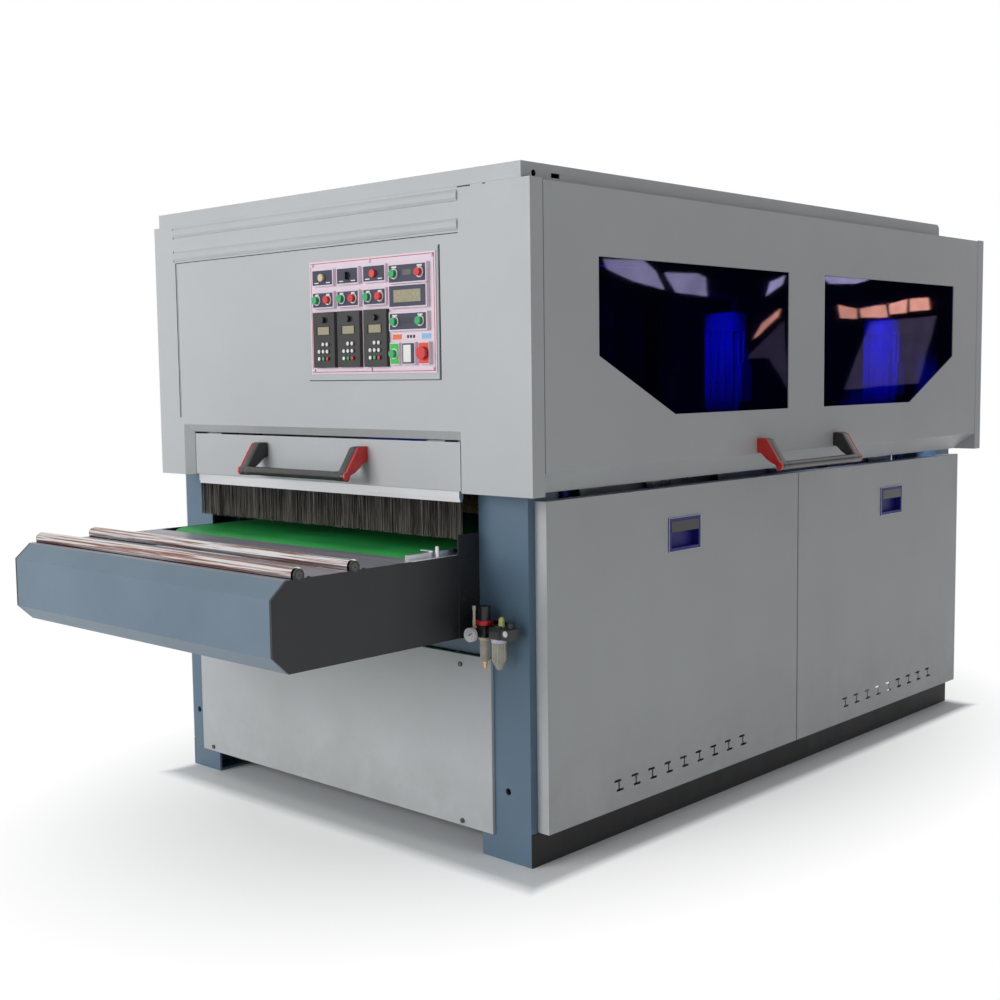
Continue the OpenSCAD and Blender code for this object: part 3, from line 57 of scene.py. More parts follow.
# Directions in which parts are turned
TO_RIGHT, TO_FRONT, UP, DOWN = (1, 0, 0), (0, -1, 0), (0, 0, 1), (0, 0, -1)


def link_object(name, data):
    """New object in the scene's own collection."""
    obj = bpy.data.objects.new(name, data)
    bpy.context.scene.collection.objects.link(obj)
    return obj


def mesh_from(name, bm):
    """Mesh made from a bmesh, which is freed."""
    mesh = bpy.data.meshes.new(name)
    bm.to_mesh(mesh)
    bm.free()
    return mesh


def round_edges(obj, width, angle):
    """Bevel on the edges sharper than an angle in degrees; the width is in metres."""
    mod = obj.modifiers.new("edges", "BEVEL")
    mod.width = width
    mod.segments = 3
    mod.limit_method = "ANGLE"
    mod.angle_limit = math.radians(angle)


# Materials
def srgb(r, g, b):
    """Linear colour of an 8-bit colour."""
    out = []
    for v in (r, g, b):
        v /= 255
        out.append(v / 12.92 if v <= 0.04045 else ((v + 0.055) / 1.055) ** 2.4)
    return (*out, 1)


def shade(color, factor, lift=0.0):
    """The colour made darker or lighter by a factor."""
    return tuple(min(1, c * factor + lift) for c in color[:3]) + (1,)


class Nodes:
    """Short way of wiring one material."""

    def __init__(self, name):
        self.mat = bpy.data.materials.new(name)
        self.mat.use_nodes = True
        self.tree = self.mat.node_tree
        self.tree.nodes.clear()
        self.out = self.tree.nodes.new("ShaderNodeOutputMaterial")

    def add(self, kind, **inputs):
        node = self.tree.nodes.new(kind)
        for key, value in inputs.items():
            self.put(node.inputs[key], value)
        return node

    def put(self, socket, value):
        """Links an output to the socket, or gives the socket a plain value."""
        if isinstance(value, bpy.types.NodeSocket):
            self.tree.links.new(value, socket)
        else:
            socket.default_value = value

    def place(self, scale=(1, 1, 1)):
        """Position in the scene, stretched by scale."""
        geo = self.add("ShaderNodeNewGeometry")
        mapping = self.add("ShaderNodeMapping")
        self.put(mapping.inputs["Vector"], geo.outputs["Position"])
        mapping.inputs["Scale"].default_value = scale
        return mapping.outputs["Vector"]

    def object_place(self):
        """Position in the piece's own frame, which moves with the piece."""
        return self.add("ShaderNodeTexCoord").outputs["Object"]

    def noise(self, vector, scale, detail=3, rough=0.5):
        node = self.add("ShaderNodeTexNoise")
        self.put(node.inputs["Vector"], vector)
        node.inputs["Scale"].default_value = scale
        node.inputs["Detail"].default_value = detail
        node.inputs["Roughness"].default_value = rough
        return node.outputs["Fac"]

    def ramp(self, value, low, high, a=0.0, b=1.0):
        """Maps a value's range from low to high onto a to b."""
        node = self.add("ShaderNodeMapRange")
        self.put(node.inputs["Value"], value)
        for name, v in (("From Min", low), ("From Max", high), ("To Min", a), ("To Max", b)):
            node.inputs[name].default_value = v
        return node.outputs["Result"]

    def mix(self, factor, a, b):
        node = self.add("ShaderNodeMix")
        node.data_type = "RGBA"
        self.put(node.inputs["Factor"], factor)
        self.put(node.inputs[6], a)
        self.put(node.inputs[7], b)
        return node.outputs[2]

    def math(self, kind, a, b=0.0):
        node = self.add("ShaderNodeMath")
        node.operation = kind
        self.put(node.inputs[0], a)
        self.put(node.inputs[1], b)
        return node.outputs[0]

    def axis(self, index, own=False):
        """One axis of the position in the scene, or in the piece's own frame."""
        source = self.object_place() if own else self.place()
        node = self.add("ShaderNodeSeparateXYZ")
        self.put(node.inputs[0], source)
        return node.outputs[index]

    def bump(self, height, strength, distance, base=None):
        node = self.add("ShaderNodeBump")
        self.put(node.inputs["Height"], height)
        node.inputs["Strength"].default_value = strength
        node.inputs["Distance"].default_value = distance
        if base is not None:
            self.put(node.inputs["Normal"], base)
        return node.outputs["Normal"]

    def rounded(self, radius):
        """Normal that rounds sharp edges by a radius in metres."""
        node = self.add("ShaderNodeBevel")
        node.samples = 4
        node.inputs["Radius"].default_value = radius
        return node.outputs["Normal"]

    def surface(self, color, roughness, normal=None, **inputs):
        """Principled shader; further inputs are named with _ for a space."""
        node = self.add("ShaderNodeBsdfPrincipled")
        self.put(node.inputs["Base Color"], color)
        self.put(node.inputs["Roughness"], roughness)
        if normal is not None:
            self.put(node.inputs["Normal"], normal)
        for key, value in inputs.items():
            self.put(node.inputs[key.replace("_", " ")], value)
        return node.outputs[0]

    def done(self, shader):
        self.tree.links.new(shader, self.out.inputs["Surface"])
        return self.mat


def powder_coat(name, color, roughness, mottle, dirt=0.0):
    """Powder-coated sheet: orange peel, slight mottling and dusty lower parts."""
    n = Nodes(name)
    world = n.place()
    large = n.noise(world, 1.7, 4, 0.6)
    fine = n.noise(world, 420, 2, 0.5)
    grain = n.noise(world, 1500, 1)
    dark, light = shade(color, 1 - mottle), shade(color, 1 + mottle)
    base = n.mix(n.ramp(large, 0.3, 0.7), dark, light)
    base = n.mix(n.ramp(grain, 0.55, 0.75, 0, 0.10), base, light)
    if dirt:
        low = n.ramp(n.axis(2), 0.0, 0.45, dirt, 0.0)
        patch = n.ramp(n.noise(world, 6, 5, 0.7), 0.35, 0.7)
        base = n.mix(n.math("MULTIPLY", low, patch), base, srgb(92, 88, 80))
    smear = n.noise(n.place((1, 1, 0.35)), 9, 5, 0.65)
    rough = n.ramp(smear, 0.3, 0.75, roughness - 0.05, roughness + 0.09)
    height = n.math("ADD", fine, n.math("MULTIPLY", grain, 0.3))
    normal = n.bump(height, 0.10, 0.0004, n.rounded(0.0012))
    return n.done(n.surface(base, rough, normal, Specular_IOR_Level=0.45))


def brushed(name, color, scale, roughness):
    """Metal with fine lines along one axis; scale stretches the noise."""
    n = Nodes(name)
    lines = n.noise(n.place(scale), 240, 4, 0.7)
    cloud = n.noise(n.place(), 7, 3)
    tone = n.mix(n.ramp(lines, 0.3, 0.7), shade(color, 0.82), color)
    rough = n.ramp(cloud, 0.3, 0.7, roughness - 0.06, roughness + 0.12)
    normal = n.bump(lines, 0.12, 0.0003, n.rounded(0.0008))
    return n.done(n.surface(tone, rough, normal, Metallic=1.0))


def moulded(name, color, roughness, peel, coat=0.0):
    """Moulded plastic with a fine grain and slightly rubbed patches."""
    n = Nodes(name)
    world = n.object_place()
    grain = n.noise(world, 900, 2)
    rub = n.noise(world, 24, 4, 0.6)
    tone = n.mix(n.ramp(rub, 0.4, 0.8, 0, 0.35), color, shade(color, 1.25, 0.004))
    rough = n.ramp(rub, 0.3, 0.8, roughness - 0.04, roughness + 0.1)
    normal = n.bump(grain, peel, 0.0003, n.rounded(0.0008))
    return n.done(n.surface(tone, rough, normal, Coat_Weight=coat))


PAINT = powder_coat("light_grey_paint", srgb(190, 192, 193), 0.44, 0.035, dirt=0.25)
FRAME = powder_coat("blue_grey_paint", srgb(92, 116, 136), 0.40, 0.05, dirt=0.15)
CHARCOAL = powder_coat("charcoal_paint", srgb(26, 27, 30), 0.42, 0.12, dirt=0.1)
KICK = powder_coat("black_kick_paint", srgb(12, 12, 13), 0.6, 0.1)
MOTOR = powder_coat("motor_enamel", srgb(16, 48, 190), 0.30, 0.08)
STEEL = brushed("brushed_steel", (0.62, 0.63, 0.65, 1), (1, 1, 12), 0.32)
ZINC = brushed("dark_screws", (0.10, 0.10, 0.10, 1), (1, 1, 1), 0.36)
PULL = moulded("navy_pull_plastic", srgb(16, 18, 120), 0.5, 0.05)
BLACK = moulded("black_plastic", srgb(20, 20, 21), 0.32, 0.08, 0.1)
GREEN = moulded("green_button_plastic", srgb(18, 168, 96), 0.24, 0.03, 0.5)
RED = moulded("red_button_plastic", srgb(214, 26, 34), 0.24, 0.03, 0.5)
WHITE = moulded("white_plastic", srgb(235, 235, 230), 0.35, 0.03, 0.2)
IVORY = moulded("ivory_plastic", srgb(214, 205, 178), 0.38, 0.04)
ORANGE = moulded("orange_label", srgb(240, 120, 60), 0.5, 0.02)
SKY = moulded("light_blue_label", srgb(140, 190, 225), 0.5, 0.02)
PINK = moulded("red_print", srgb(205, 70, 78), 0.5, 0.02)
LIME = moulded("bright_green_block", srgb(40, 190, 60), 0.4, 0.03)
RUST = moulded("red_orange_block", srgb(228, 70, 46), 0.4, 0.03)
NAVY = moulded("dark_block_print", srgb(34, 32, 62), 0.42, 0.04)
# Dark grey of the strips of painted shadow along the hood's joints
SEAM_SHADE = moulded("seam_shadow", srgb(48, 52, 58), 0.8, 0.02)


def nose_material():
    """Blue-grey nose sheet whose flat top is painted a lighter silvery grey: painted light from above
    on the blue-grey sheet.
    """
    n = Nodes("nose_sheet")
    world = n.place()
    flat_z, blend = 0.871, 0.0005
    # Mask of the flat top, which is painted lighter: painted light from above
    top = n.ramp(n.axis(2), flat_z - blend, flat_z + blend)
    rub = n.noise(n.place((0.3, 8, 1)), 5, 4, 0.6)
    painted_top_light = n.mix(n.ramp(rub, 0.35, 0.7), srgb(134, 134, 142), srgb(168, 167, 174))
    cloud = n.noise(world, 2.2, 4, 0.6)
    blue = n.mix(n.ramp(cloud, 0.3, 0.7), srgb(92, 112, 128), srgb(106, 126, 142))
    fine = n.noise(world, 500, 2)
    normal = n.bump(fine, 0.08, 0.0003, n.rounded(0.003))
    return n.done(n.surface(n.mix(top, blue, painted_top_light), n.ramp(top, 0, 1, 0.42, 0.34), normal))


NOSE = nose_material()


def knob_material():
    """Regulator knob: red locking ring below, black ribbed grip above."""
    n = Nodes("regulator_knob_plastic")
    world = n.object_place()
    ring_top, blend = 0.6924, 0.0001
    upper = n.ramp(n.axis(2), ring_top - blend, ring_top + blend)
    base = n.mix(upper, srgb(210, 14, 30), srgb(18, 17, 20))
    rub = n.noise(world, 60, 3)
    normal = n.bump(n.noise(world, 700, 2), 0.08, 0.0003)
    return n.done(n.surface(base, n.ramp(rub, 0.3, 0.7, 0.25, 0.4), normal))


KNOB = knob_material()
DIAL = moulded("gauge_dial", srgb(232, 230, 230), 0.3, 0.02, 0.4)
COLLAR = moulded("pale_collar", srgb(222, 214, 236), 0.35, 0.03, 0.2)
SIGHT = moulded("sight_dome", srgb(196, 200, 120), 0.2, 0.03, 0.6)


def chrome_material():
    """Polished rollers with brown bands painted into their colour: a painted reflection of the
    reddish-brown surroundings.
    """
    n = Nodes("chrome_rollers")
    reflection_streak = n.noise(n.place((0.4, 26, 26)), 6, 4, 0.6)
    # Brown bands in the base colour: painted reflection of the reddish-brown surroundings in the chrome
    reflection_band = n.ramp(reflection_streak, 0.46, 0.58)
    base = n.mix(reflection_band, (0.66, 0.66, 0.67, 1), (0.26, 0.11, 0.08, 1))
    rough = n.ramp(reflection_streak, 0.45, 0.65, 0.09, 0.22)
    fine = n.noise(n.place((1, 30, 30)), 160, 2)
    return n.done(n.surface(base, rough, n.bump(fine, 0.05, 0.0002), Metallic=1.0))


def belt_material():
    """Green feed belt: fine fabric print in a satin rubber face, with paler worn tracks."""
    n = Nodes("green_belt")
    world = n.place()
    weave_x = n.add("ShaderNodeTexWave", Vector=world, Scale=160.0)
    weave_x.bands_direction = "X"
    weave_y = n.add("ShaderNodeTexWave", Vector=world, Scale=160.0)
    weave_y.bands_direction = "Y"
    weave = n.math("MULTIPLY", weave_x.outputs["Fac"], weave_y.outputs["Fac"])
    cloud = n.noise(world, 5, 5, 0.6)
    base = n.mix(n.ramp(cloud, 0.3, 0.75), srgb(18, 146, 60), srgb(38, 176, 80))
    base = n.mix(n.math("MULTIPLY", weave, 0.25), base, srgb(10, 104, 42))
    track = n.ramp(n.noise(n.place((9, 0.4, 1)), 3, 3), 0.55, 0.8, 0, 0.3)
    base = n.mix(track, base, srgb(70, 150, 90))
    rough = n.ramp(cloud, 0.3, 0.7, 0.42, 0.58)
    return n.done(n.surface(base, rough, n.bump(weave, 0.2, 0.0004)))


def glass_material():
    """Tinted window: dark navy, glossy, with the inside showing through faintly."""
    n = Nodes("navy_window")
    ripple = n.noise(n.place((1, 0.5, 0.8)), 3.2, 2, 0.4)
    normal = n.bump(ripple, 0.12, 0.01)
    skin = n.surface((0.001, 0.001, 0.005, 1), 0.03, normal, Specular_IOR_Level=0.5)
    clear = n.add("ShaderNodeBsdfTransparent")
    clear.inputs["Color"].default_value = (0.03, 0.08, 0.95, 1)
    mix = n.add("ShaderNodeMixShader")
    mix.inputs[0].default_value = 0.6
    n.tree.links.new(clear.outputs[0], mix.inputs[1])
    n.tree.links.new(skin, mix.inputs[2])
    return n.done(mix.outputs[0])


def bristle_material():
    """Bristles darker at the root and dusty towards the tip, with every strand a little different."""
    n = Nodes("curtain_bristles")
    root, tip = srgb(24, 22, 24), srgb(104, 98, 92)
    strand = n.noise(n.place((1, 1, 0.02)), 260, 2)
    patch = n.noise(n.place((1, 1, 0.05)), 9, 3)
    tip_z, root_z = 0.905, 1.03
    height = n.ramp(n.axis(2), tip_z, root_z)
    mixed = n.math("ADD", n.math("MULTIPLY", height, 0.6), n.math("MULTIPLY", patch, 0.7))
    base = n.mix(n.ramp(mixed, 0.35, 0.85), tip, root)
    base = n.mix(n.ramp(strand, 0.5, 0.75, 0, 0.8), base, shade(tip, 1.9))
    return n.done(n.surface(base, 0.55, Specular_IOR_Level=0.35))


CHROME = chrome_material()
BELT = belt_material()
GLASS = glass_material()
CURTAIN = bristle_material()


def abrasive_material():
    """Brown sanding strips backed by pale fibre bristles."""
    n = Nodes("abrasive_strips")
    own = n.object_place()
    strips = n.noise(own, 130, 3, 0.7)
    base = n.mix(n.ramp(strips, 0.35, 0.65), srgb(112, 70, 40), srgb(186, 160, 118))
    return n.done(n.surface(base, 0.8, n.bump(n.noise(own, 900, 2), 0.4, 0.0006)))


ABRASIVE = abrasive_material()


def plate_material():
    """Printed control plate: pale lilac field on finely blasted aluminium."""
    n = Nodes("printed_plate")
    world = n.place()
    grain = n.noise(world, 900, 2)
    base = n.mix(n.ramp(grain, 0.3, 0.7), srgb(226, 208, 220), srgb(238, 224, 233))
    return n.done(n.surface(base, 0.42, n.bump(grain, 0.05, 0.0002, n.rounded(0.0006))))


PLATE = plate_material()


def screen_material():
    """Unlit display: beige with faint rows of pixels under a clear cover."""
    n = Nodes("display_screen")
    pixels = n.noise(n.place((1, 1, 0.4)), 900, 1)
    base = n.mix(n.ramp(pixels, 0.45, 0.6), srgb(150, 142, 112), srgb(176, 168, 136))
    return n.done(n.surface(base, 0.15, Coat_Weight=0.6))


SCREEN = screen_material()


def lamp_material():
    """Pilot lamp lenses: pale on the left of the plate, red further right."""
    n = Nodes("lamp_lens")
    facet = n.noise(n.object_place(), 300, 1)
    x = n.axis(0, own=True)
    tint = n.mix(n.ramp(x, 0.1, 0.25), srgb(222, 200, 160), srgb(236, 48, 40))
    return n.done(n.surface(tint, 0.16, n.bump(facet, 0.1, 0.0004), Coat_Weight=0.8))


LAMP = lamp_material()


def bowl_material():
    """Clear polycarbonate bowl with a trace of oil and dust."""
    n = Nodes("clear_bowl")
    cloud = n.noise(n.place(), 40, 3)
    base = n.mix(n.ramp(cloud, 0.3, 0.7), srgb(196, 190, 172), srgb(226, 224, 214))
    return n.done(n.surface(base, 0.12, Transmission_Weight=0.55, IOR=1.3, Coat_Weight=0.5))


BOWL = bowl_material()
BRASS = brushed("brass", (0.66, 0.47, 0.20, 1), (1, 1, 6), 0.28)


def paint_node(name, material):
    """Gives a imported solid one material."""
    obj = nodes[name]
    obj.data.materials.clear()
    obj.data.materials.append(material)
    for poly in obj.data.polygons:
        poly.material_index = 0


GROUPS = ["group_%d" % i for i in (1, 2, 3)]
BUTTONS = ["lamp_row_start", "lamp_row_stop"]
BUTTONS += [group + end for group in GROUPS for end in ("_start", "_stop")]
BUTTONS += ["table_up", "table_down", "feed_start", "emergency_stop"]
FINISH = {
    PAINT: [
        "front_base_cover", "rear_and_left_covers", "front_hood", "rear_hood", "roof_cover",
        "front_hatch", "right_door", "left_door", "right_front_panel", "right_rear_panel",
    ],
    FRAME: ["base_frame"],
    NOSE: ["nose_covers"],
    KNOB: ["regulator_knob"],
    CHARCOAL: ["conveyor_bed"],
    KICK: ["kick_plates"],
    MOTOR: ["conveyor_gearmotor", "brush_motors", "lift_jacks"],
    STEEL: ["curtain_rails", "drive_roller", "tail_roller", "belt_guide", "brush_carriage"],
    ZINC: ["cover_screws"],
    CHROME: ["support_roller_front", "support_roller_rear"],
    BELT: ["conveyor_belt"],
    GLASS: ["right_windows", "left_windows"],
    PULL: ["front_panel_pull", "rear_panel_pull"],
    BLACK: ["brush_belts", "drive_keypads", "mode_selector", "air_unit"],
    PLATE: ["control_plate"],
    LAMP: ["pilot_lamps"],
    GREEN: [name for name in BUTTONS if not name.endswith("_stop")],
    RED: [name for name in BUTTONS if name.endswith("_stop")],
    ABRASIVE: ["brush_%d" % (i + 1) for i in range(BRUSH_COUNT)],
    CURTAIN: ["front_curtain", "rear_curtain"],
}
for material, names in FINISH.items():
    for name in names:
        paint_node(name, material)


# Mesh helpers
def piece(name, bm, materials, body, bevel=0.0):
    """Turns a bmesh into a piece that rides on a body."""
    bmesh.ops.recalc_face_normals(bm, faces=bm.faces)
    mesh = mesh_from(name, bm)
    obj = link_object(name, mesh)
    for material in materials:
        mesh.materials.append(material)
    if bevel:
        round_edges(obj, bevel, 35)
    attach(obj, body)
    return obj


def box_into(bm, lo, hi, index=0):
    """A closed box between two corners in millimetres."""
    lo, hi = [v * MM for v in lo], [v * MM for v in hi]
    corners = [
        bm.verts.new((x, y, z))
        for x in (lo[0], hi[0]) for y in (lo[1], hi[1]) for z in (lo[2], hi[2])
    ]
    for f in ((0, 1, 3, 2), (4, 6, 7, 5), (0, 4, 5, 1), (2, 3, 7, 6), (0, 2, 6, 4), (1, 5, 7, 3)):
        bm.faces.new([corners[i] for i in f]).material_index = index


def slab_into(bm, outline, x0, x1):
    """A closed outline in Y and Z (millimetres) carried from x0 to x1."""
    near = [bm.verts.new((x0 * MM, y * MM, z * MM)) for y, z in outline]
    far = [bm.verts.new((x1 * MM, y * MM, z * MM)) for y, z in outline]
    bm.faces.new(near)
    bm.faces.new(far)
    for k in range(len(outline)):
        j = (k + 1) % len(outline)
        bm.faces.new((near[k], near[j], far[j], far[k]))


def turned_into(bm, origin, axis, profile, segments, index=0):
    """A turned solid: profile is (distance along the axis, radius) in millimetres."""
    axis = Vector(axis).normalized()
    side = axis.orthogonal().normalized()
    other = axis.cross(side)
    rings = []
    for along, radius in profile:
        centre = (Vector(origin) + axis * along) * MM
        if radius < 1e-6:
            rings.append([bm.verts.new(centre)])
            continue
        ring = []
        for k in range(segments):
            a = 2 * math.pi * k / segments
            ring.append(bm.verts.new(centre + (side * math.cos(a) + other * math.sin(a)) * radius * MM))
        rings.append(ring)
    for a, b in zip(rings, rings[1:]):
        for k in range(segments):
            j = (k + 1) % segments
            quad = [a[k % len(a)], a[j % len(a)], b[j % len(b)], b[k % len(b)]]
            unique = list(dict.fromkeys(quad))
            if len(unique) > 2:
                bm.faces.new(unique).material_index = index
    for ring in (rings[0], rings[-1]):
        if len(ring) > 2:
            bm.faces.new(ring).material_index = index


def tube_into(bm, points, radius, segments, index=0):
    """A round bar through points in millimetres, with flat ends."""
    points = [Vector(p) for p in points]
    rings = []
    up = None
    for i, p in enumerate(points):
        ahead = (points[min(i + 1, len(points) - 1)] - points[max(i - 1, 0)]).normalized()
        if up is None:
            up = ahead.orthogonal().normalized()
        up = (up - ahead * up.dot(ahead)).normalized()
        other = ahead.cross(up)
        r = radius[i] if isinstance(radius, (list, tuple)) else radius
        rings.append([
            bm.verts.new((p + (up * math.cos(a) + other * math.sin(a)) * r) * MM)
            for a in (2 * math.pi * k / segments for k in range(segments))
        ])
    for a, b in zip(rings, rings[1:]):
        for k in range(segments):
            j = (k + 1) % segments
            bm.faces.new((a[k], a[j], b[j], b[k])).material_index = index
    bm.faces.new(rings[0]).material_index = index
    bm.faces.new(rings[-1]).material_index = index


def frame_bars(a0, a1, b0, b1, width):
    """Four bars round a rectangle, each as its ranges along the two axes."""
    return (
        (a0, a1, b0, b0 + width), (a0, a1, b1 - width, b1),
        (a0, a0 + width, b0, b1), (a1 - width, a1, b0, b1),
    )


def mm_box(node):
    """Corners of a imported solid's box in millimetres."""
    lo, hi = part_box(node)
    return lo * 1000, hi * 1000


# Bristle curtains
def curtain(node, tufts_per_row, rows, name):
    """Dense bristles in tufts that fill the space of the solid comb, with uneven tips."""
    lo, hi = mm_box(node)
    strip_h, strip_lap = 9, 1
    bm = bmesh.new()
    box_into(bm, (lo.x, lo.y - strip_lap, hi.z - strip_h), (hi.x, hi.y + strip_lap, hi.z), 1)
    depth = (hi.y - lo.y) / rows
    for row in range(rows):
        for k in range(tufts_per_row):
            x = lo.x + (k + 0.5 + random.uniform(-0.3, 0.3)) * (hi.x - lo.x) / tufts_per_row
            y = lo.y + (row + 0.5 + random.uniform(-0.35, 0.35)) * depth
            width = random.uniform(0.45, 0.95)
            lean = random.gauss(0, 2.2)
            kick = random.gauss(0, 1.6)
            tip = lo.z + random.uniform(0, 7) + abs(random.gauss(0, 2.5))
            root = hi.z - strip_h + 1
            mid = (tip + root) / 2
            turn = random.uniform(0, math.pi)
            dx, dy = math.cos(turn) * width, math.sin(turn) * width
            rings = []
            for z, f in ((root, 0.0), (mid, 0.35), (tip, 1.0)):
                cx = min(max(x + lean * f, lo.x + 1), hi.x - 1)
                cy = min(max(y + kick * f, lo.y), hi.y)
                rings.append([
                    bm.verts.new(((cx + sx) * MM, (cy + sy) * MM, z * MM))
                    for sx, sy in ((dx, dy), (-dy * 0.6, dx * 0.6), (-dx, -dy))
                ])
            for a, b in zip(rings, rings[1:]):
                for j in range(3):
                    m = (j + 1) % 3
                    bm.faces.new((a[j], a[m], b[m], b[j]))
            bm.faces.new(rings[-1])
    obj = piece(name, bm, [CURTAIN, STEEL], "housing")
    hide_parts(node)


curtain("front_curtain", 620, 4, "front_bristle_curtain")
curtain("rear_curtain", 380, 3, "rear_bristle_curtain")


# Sanding brushes
def brush_mesh():
    """One brush: core, rows of slit abrasive strips, shaft and grooved pulley."""
    core_r, knee_r, tip_r = 42, 72, 99.5
    shaft_r, pulley_r, pulley_w, pulley_x = 20, 44, 30, 612
    strips, fingers, slit = 20, 70, 1.6
    lo, hi = mm_box("brush_1")
    centre_y, centre_z = (lo.y + hi.y) / 2, (lo.z + hi.z) / 2
    length = hi.x - lo.x
    bm = bmesh.new()
    core = [(0, core_r), (BELT_X1 - BELT_X0, core_r)]
    turned_into(bm, (BELT_X0, centre_y, centre_z), TO_RIGHT, core, 40, 1)
    shaft = [(0, shaft_r - 1), (1, shaft_r), (length - 1, shaft_r), (length, shaft_r - 1)]
    turned_into(bm, (lo.x, centre_y, centre_z), TO_RIGHT, shaft, 28, 2)
    half_pulley = [(0, pulley_r - 1), (1, pulley_r), (3, pulley_r), (4, pulley_r - 3)]
    pulley = half_pulley + [(pulley_w - x, r) for x, r in reversed(half_pulley)]
    turned_into(bm, (pulley_x, centre_y, centre_z), TO_RIGHT, pulley, 40, 2)
    step = (BELT_X1 - BELT_X0) / fingers
    for strip in range(strips):
        base = 2 * math.pi * strip / strips
        for k in range(fingers):
            xa = BELT_X0 + k * step + slit / 2
            xb = BELT_X0 + (k + 1) * step - slit / 2
            bend = 0.06 + random.uniform(-0.03, 0.05)
            reach = tip_r - abs(random.gauss(0, 1.2))
            left, right = [], []
            for r, a in ((core_r - 1, 0.0), (knee_r, bend * 0.4), (reach, bend)):
                y, z = centre_y + r * math.cos(base + a), centre_z + r * math.sin(base + a)
                left.append(bm.verts.new((xa * MM, y * MM, z * MM)))
                right.append(bm.verts.new((xb * MM, y * MM, z * MM)))
            for i in range(2):
                bm.faces.new((left[i], left[i + 1], right[i + 1], right[i]))
    return bm


first = piece("sanding_brush_1", brush_mesh(), [ABRASIVE, BLACK, STEEL], "brush_unit_1")
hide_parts("brush_1")
for i in range(1, BRUSH_COUNT):
    copy = link_object("sanding_brush_%d" % (i + 1), first.data)
    copy.location = (0, BRUSH_PITCH * MM * i, 0)
    bpy.context.view_layer.update()
    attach(copy, "brush_unit_%d" % (i + 1))
    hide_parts("brush_%d" % (i + 1))


# Pull handles
def handle_material():
    """Black bar and arms, red outer caps; the split follows the piece's own length axis."""
    n = Nodes("handle_black_red")
    own = n.object_place()
    along = n.math("ABSOLUTE", n.axis(0, own=True))
    cap_x, blend = 0.2456, 0.0001
    cap = n.ramp(along, cap_x - blend, cap_x + blend)
    grain = n.noise(own, 700, 2)
    rub = n.noise(own, 30, 3)
    red = n.mix(n.ramp(rub, 0.4, 0.8), srgb(206, 26, 24), srgb(228, 44, 36))
    black = n.mix(n.ramp(rub, 0.4, 0.8), srgb(20, 20, 21), srgb(40, 39, 38))
    base = n.mix(cap, black, red)
    rough = n.ramp(cap, 0, 1, 0.36, 0.16)
    return n.done(n.surface(base, rough, n.bump(grain, 0.05, 0.0003), Coat_Weight=0.35))


HANDLE = handle_material()


def arm_outline(out, drop, foot, bar_r, grow):
    """Side view of a handle's arm in Y and Z, rounded at the bar."""
    points = [(0, foot + grow), (0, -foot - grow)]
    for k in range(4):
        f = k / 3
        sag = 5 * math.sin(math.pi * f)
        points.append((-14 - f * (out - 26), -foot - 2 - f * (drop - foot - 4) - sag))
    for k in range(9):
        a = math.radians(-70 - k * 20)
        points.append((-out + (bar_r + grow) * math.cos(a), -drop + (bar_r + grow) * math.sin(a)))
    for k in range(4):
        f = k / 3
        points.append((-out - 4 + f * (out - 34), -drop + 14 + f * (foot + drop - 18)))
    points.append((-24, foot + grow))
    return points


def pull_handle(name, body, place, node):
    """Bridge handle along its own X: arms run down and forward to a round bar."""
    half, out, drop, foot = 255, 78, 62, 23
    arm_t, cap_t, bar_r, grip_r = 30, 9, 15, 13.4
    bm = bmesh.new()
    for side in (-1, 1):
        x_out = side * half
        x_mid = side * (half - cap_t)
        x_in = side * (half - cap_t - arm_t)
        cap = arm_outline(out, drop, foot, bar_r, 0.0)
        arm = arm_outline(out, drop, foot, bar_r, -0.6)
        slab_into(bm, cap, min(x_out, x_mid), max(x_out, x_mid))
        slab_into(bm, arm, min(x_mid, x_in), max(x_mid, x_in))
    stations = (-half + 32, -half + 60, half - 60, half - 32)
    tube_into(bm, [(x, -out, -drop) for x in stations], [bar_r, grip_r, grip_r, bar_r], 28)
    bmesh.ops.recalc_face_normals(bm, faces=bm.faces)
    mesh = mesh_from(name, bm)
    for p in mesh.polygons:
        p.use_smooth = True
    mesh.materials.append(HANDLE)
    obj = link_object(name, mesh)
    round_edges(obj, 0.0035, 40)
    obj.matrix_world = place
    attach(obj, body)
    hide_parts(node)


# Middles of the handles' feet on the hatch and on the two doors
HATCH_X0, HATCH_W = -684, 1296
HATCH_GRIP = Vector((HATCH_X0 + 0.49 * HATCH_W, -1220, 1144))
DOOR_X, DOOR_GRIP_Y, DOOR_GRIP_Z = 870, FRONT_Y + 0.487 * BODY_L, 1138
pull_handle("hatch_pull_handle", "hatch", Matrix.Translation(HATCH_GRIP * MM), "front_handle")
for name, way in (("right", 1), ("left", -1)):
    grip = Vector((DOOR_X * way, DOOR_GRIP_Y, DOOR_GRIP_Z))
    turn = Matrix.Rotation(math.radians(90 * way), 4, "Z")
    side_place = Matrix.Translation(grip * MM) @ turn
    pull_handle(name + "_pull_handle", name + "_side_door", side_place, name + "_handle")
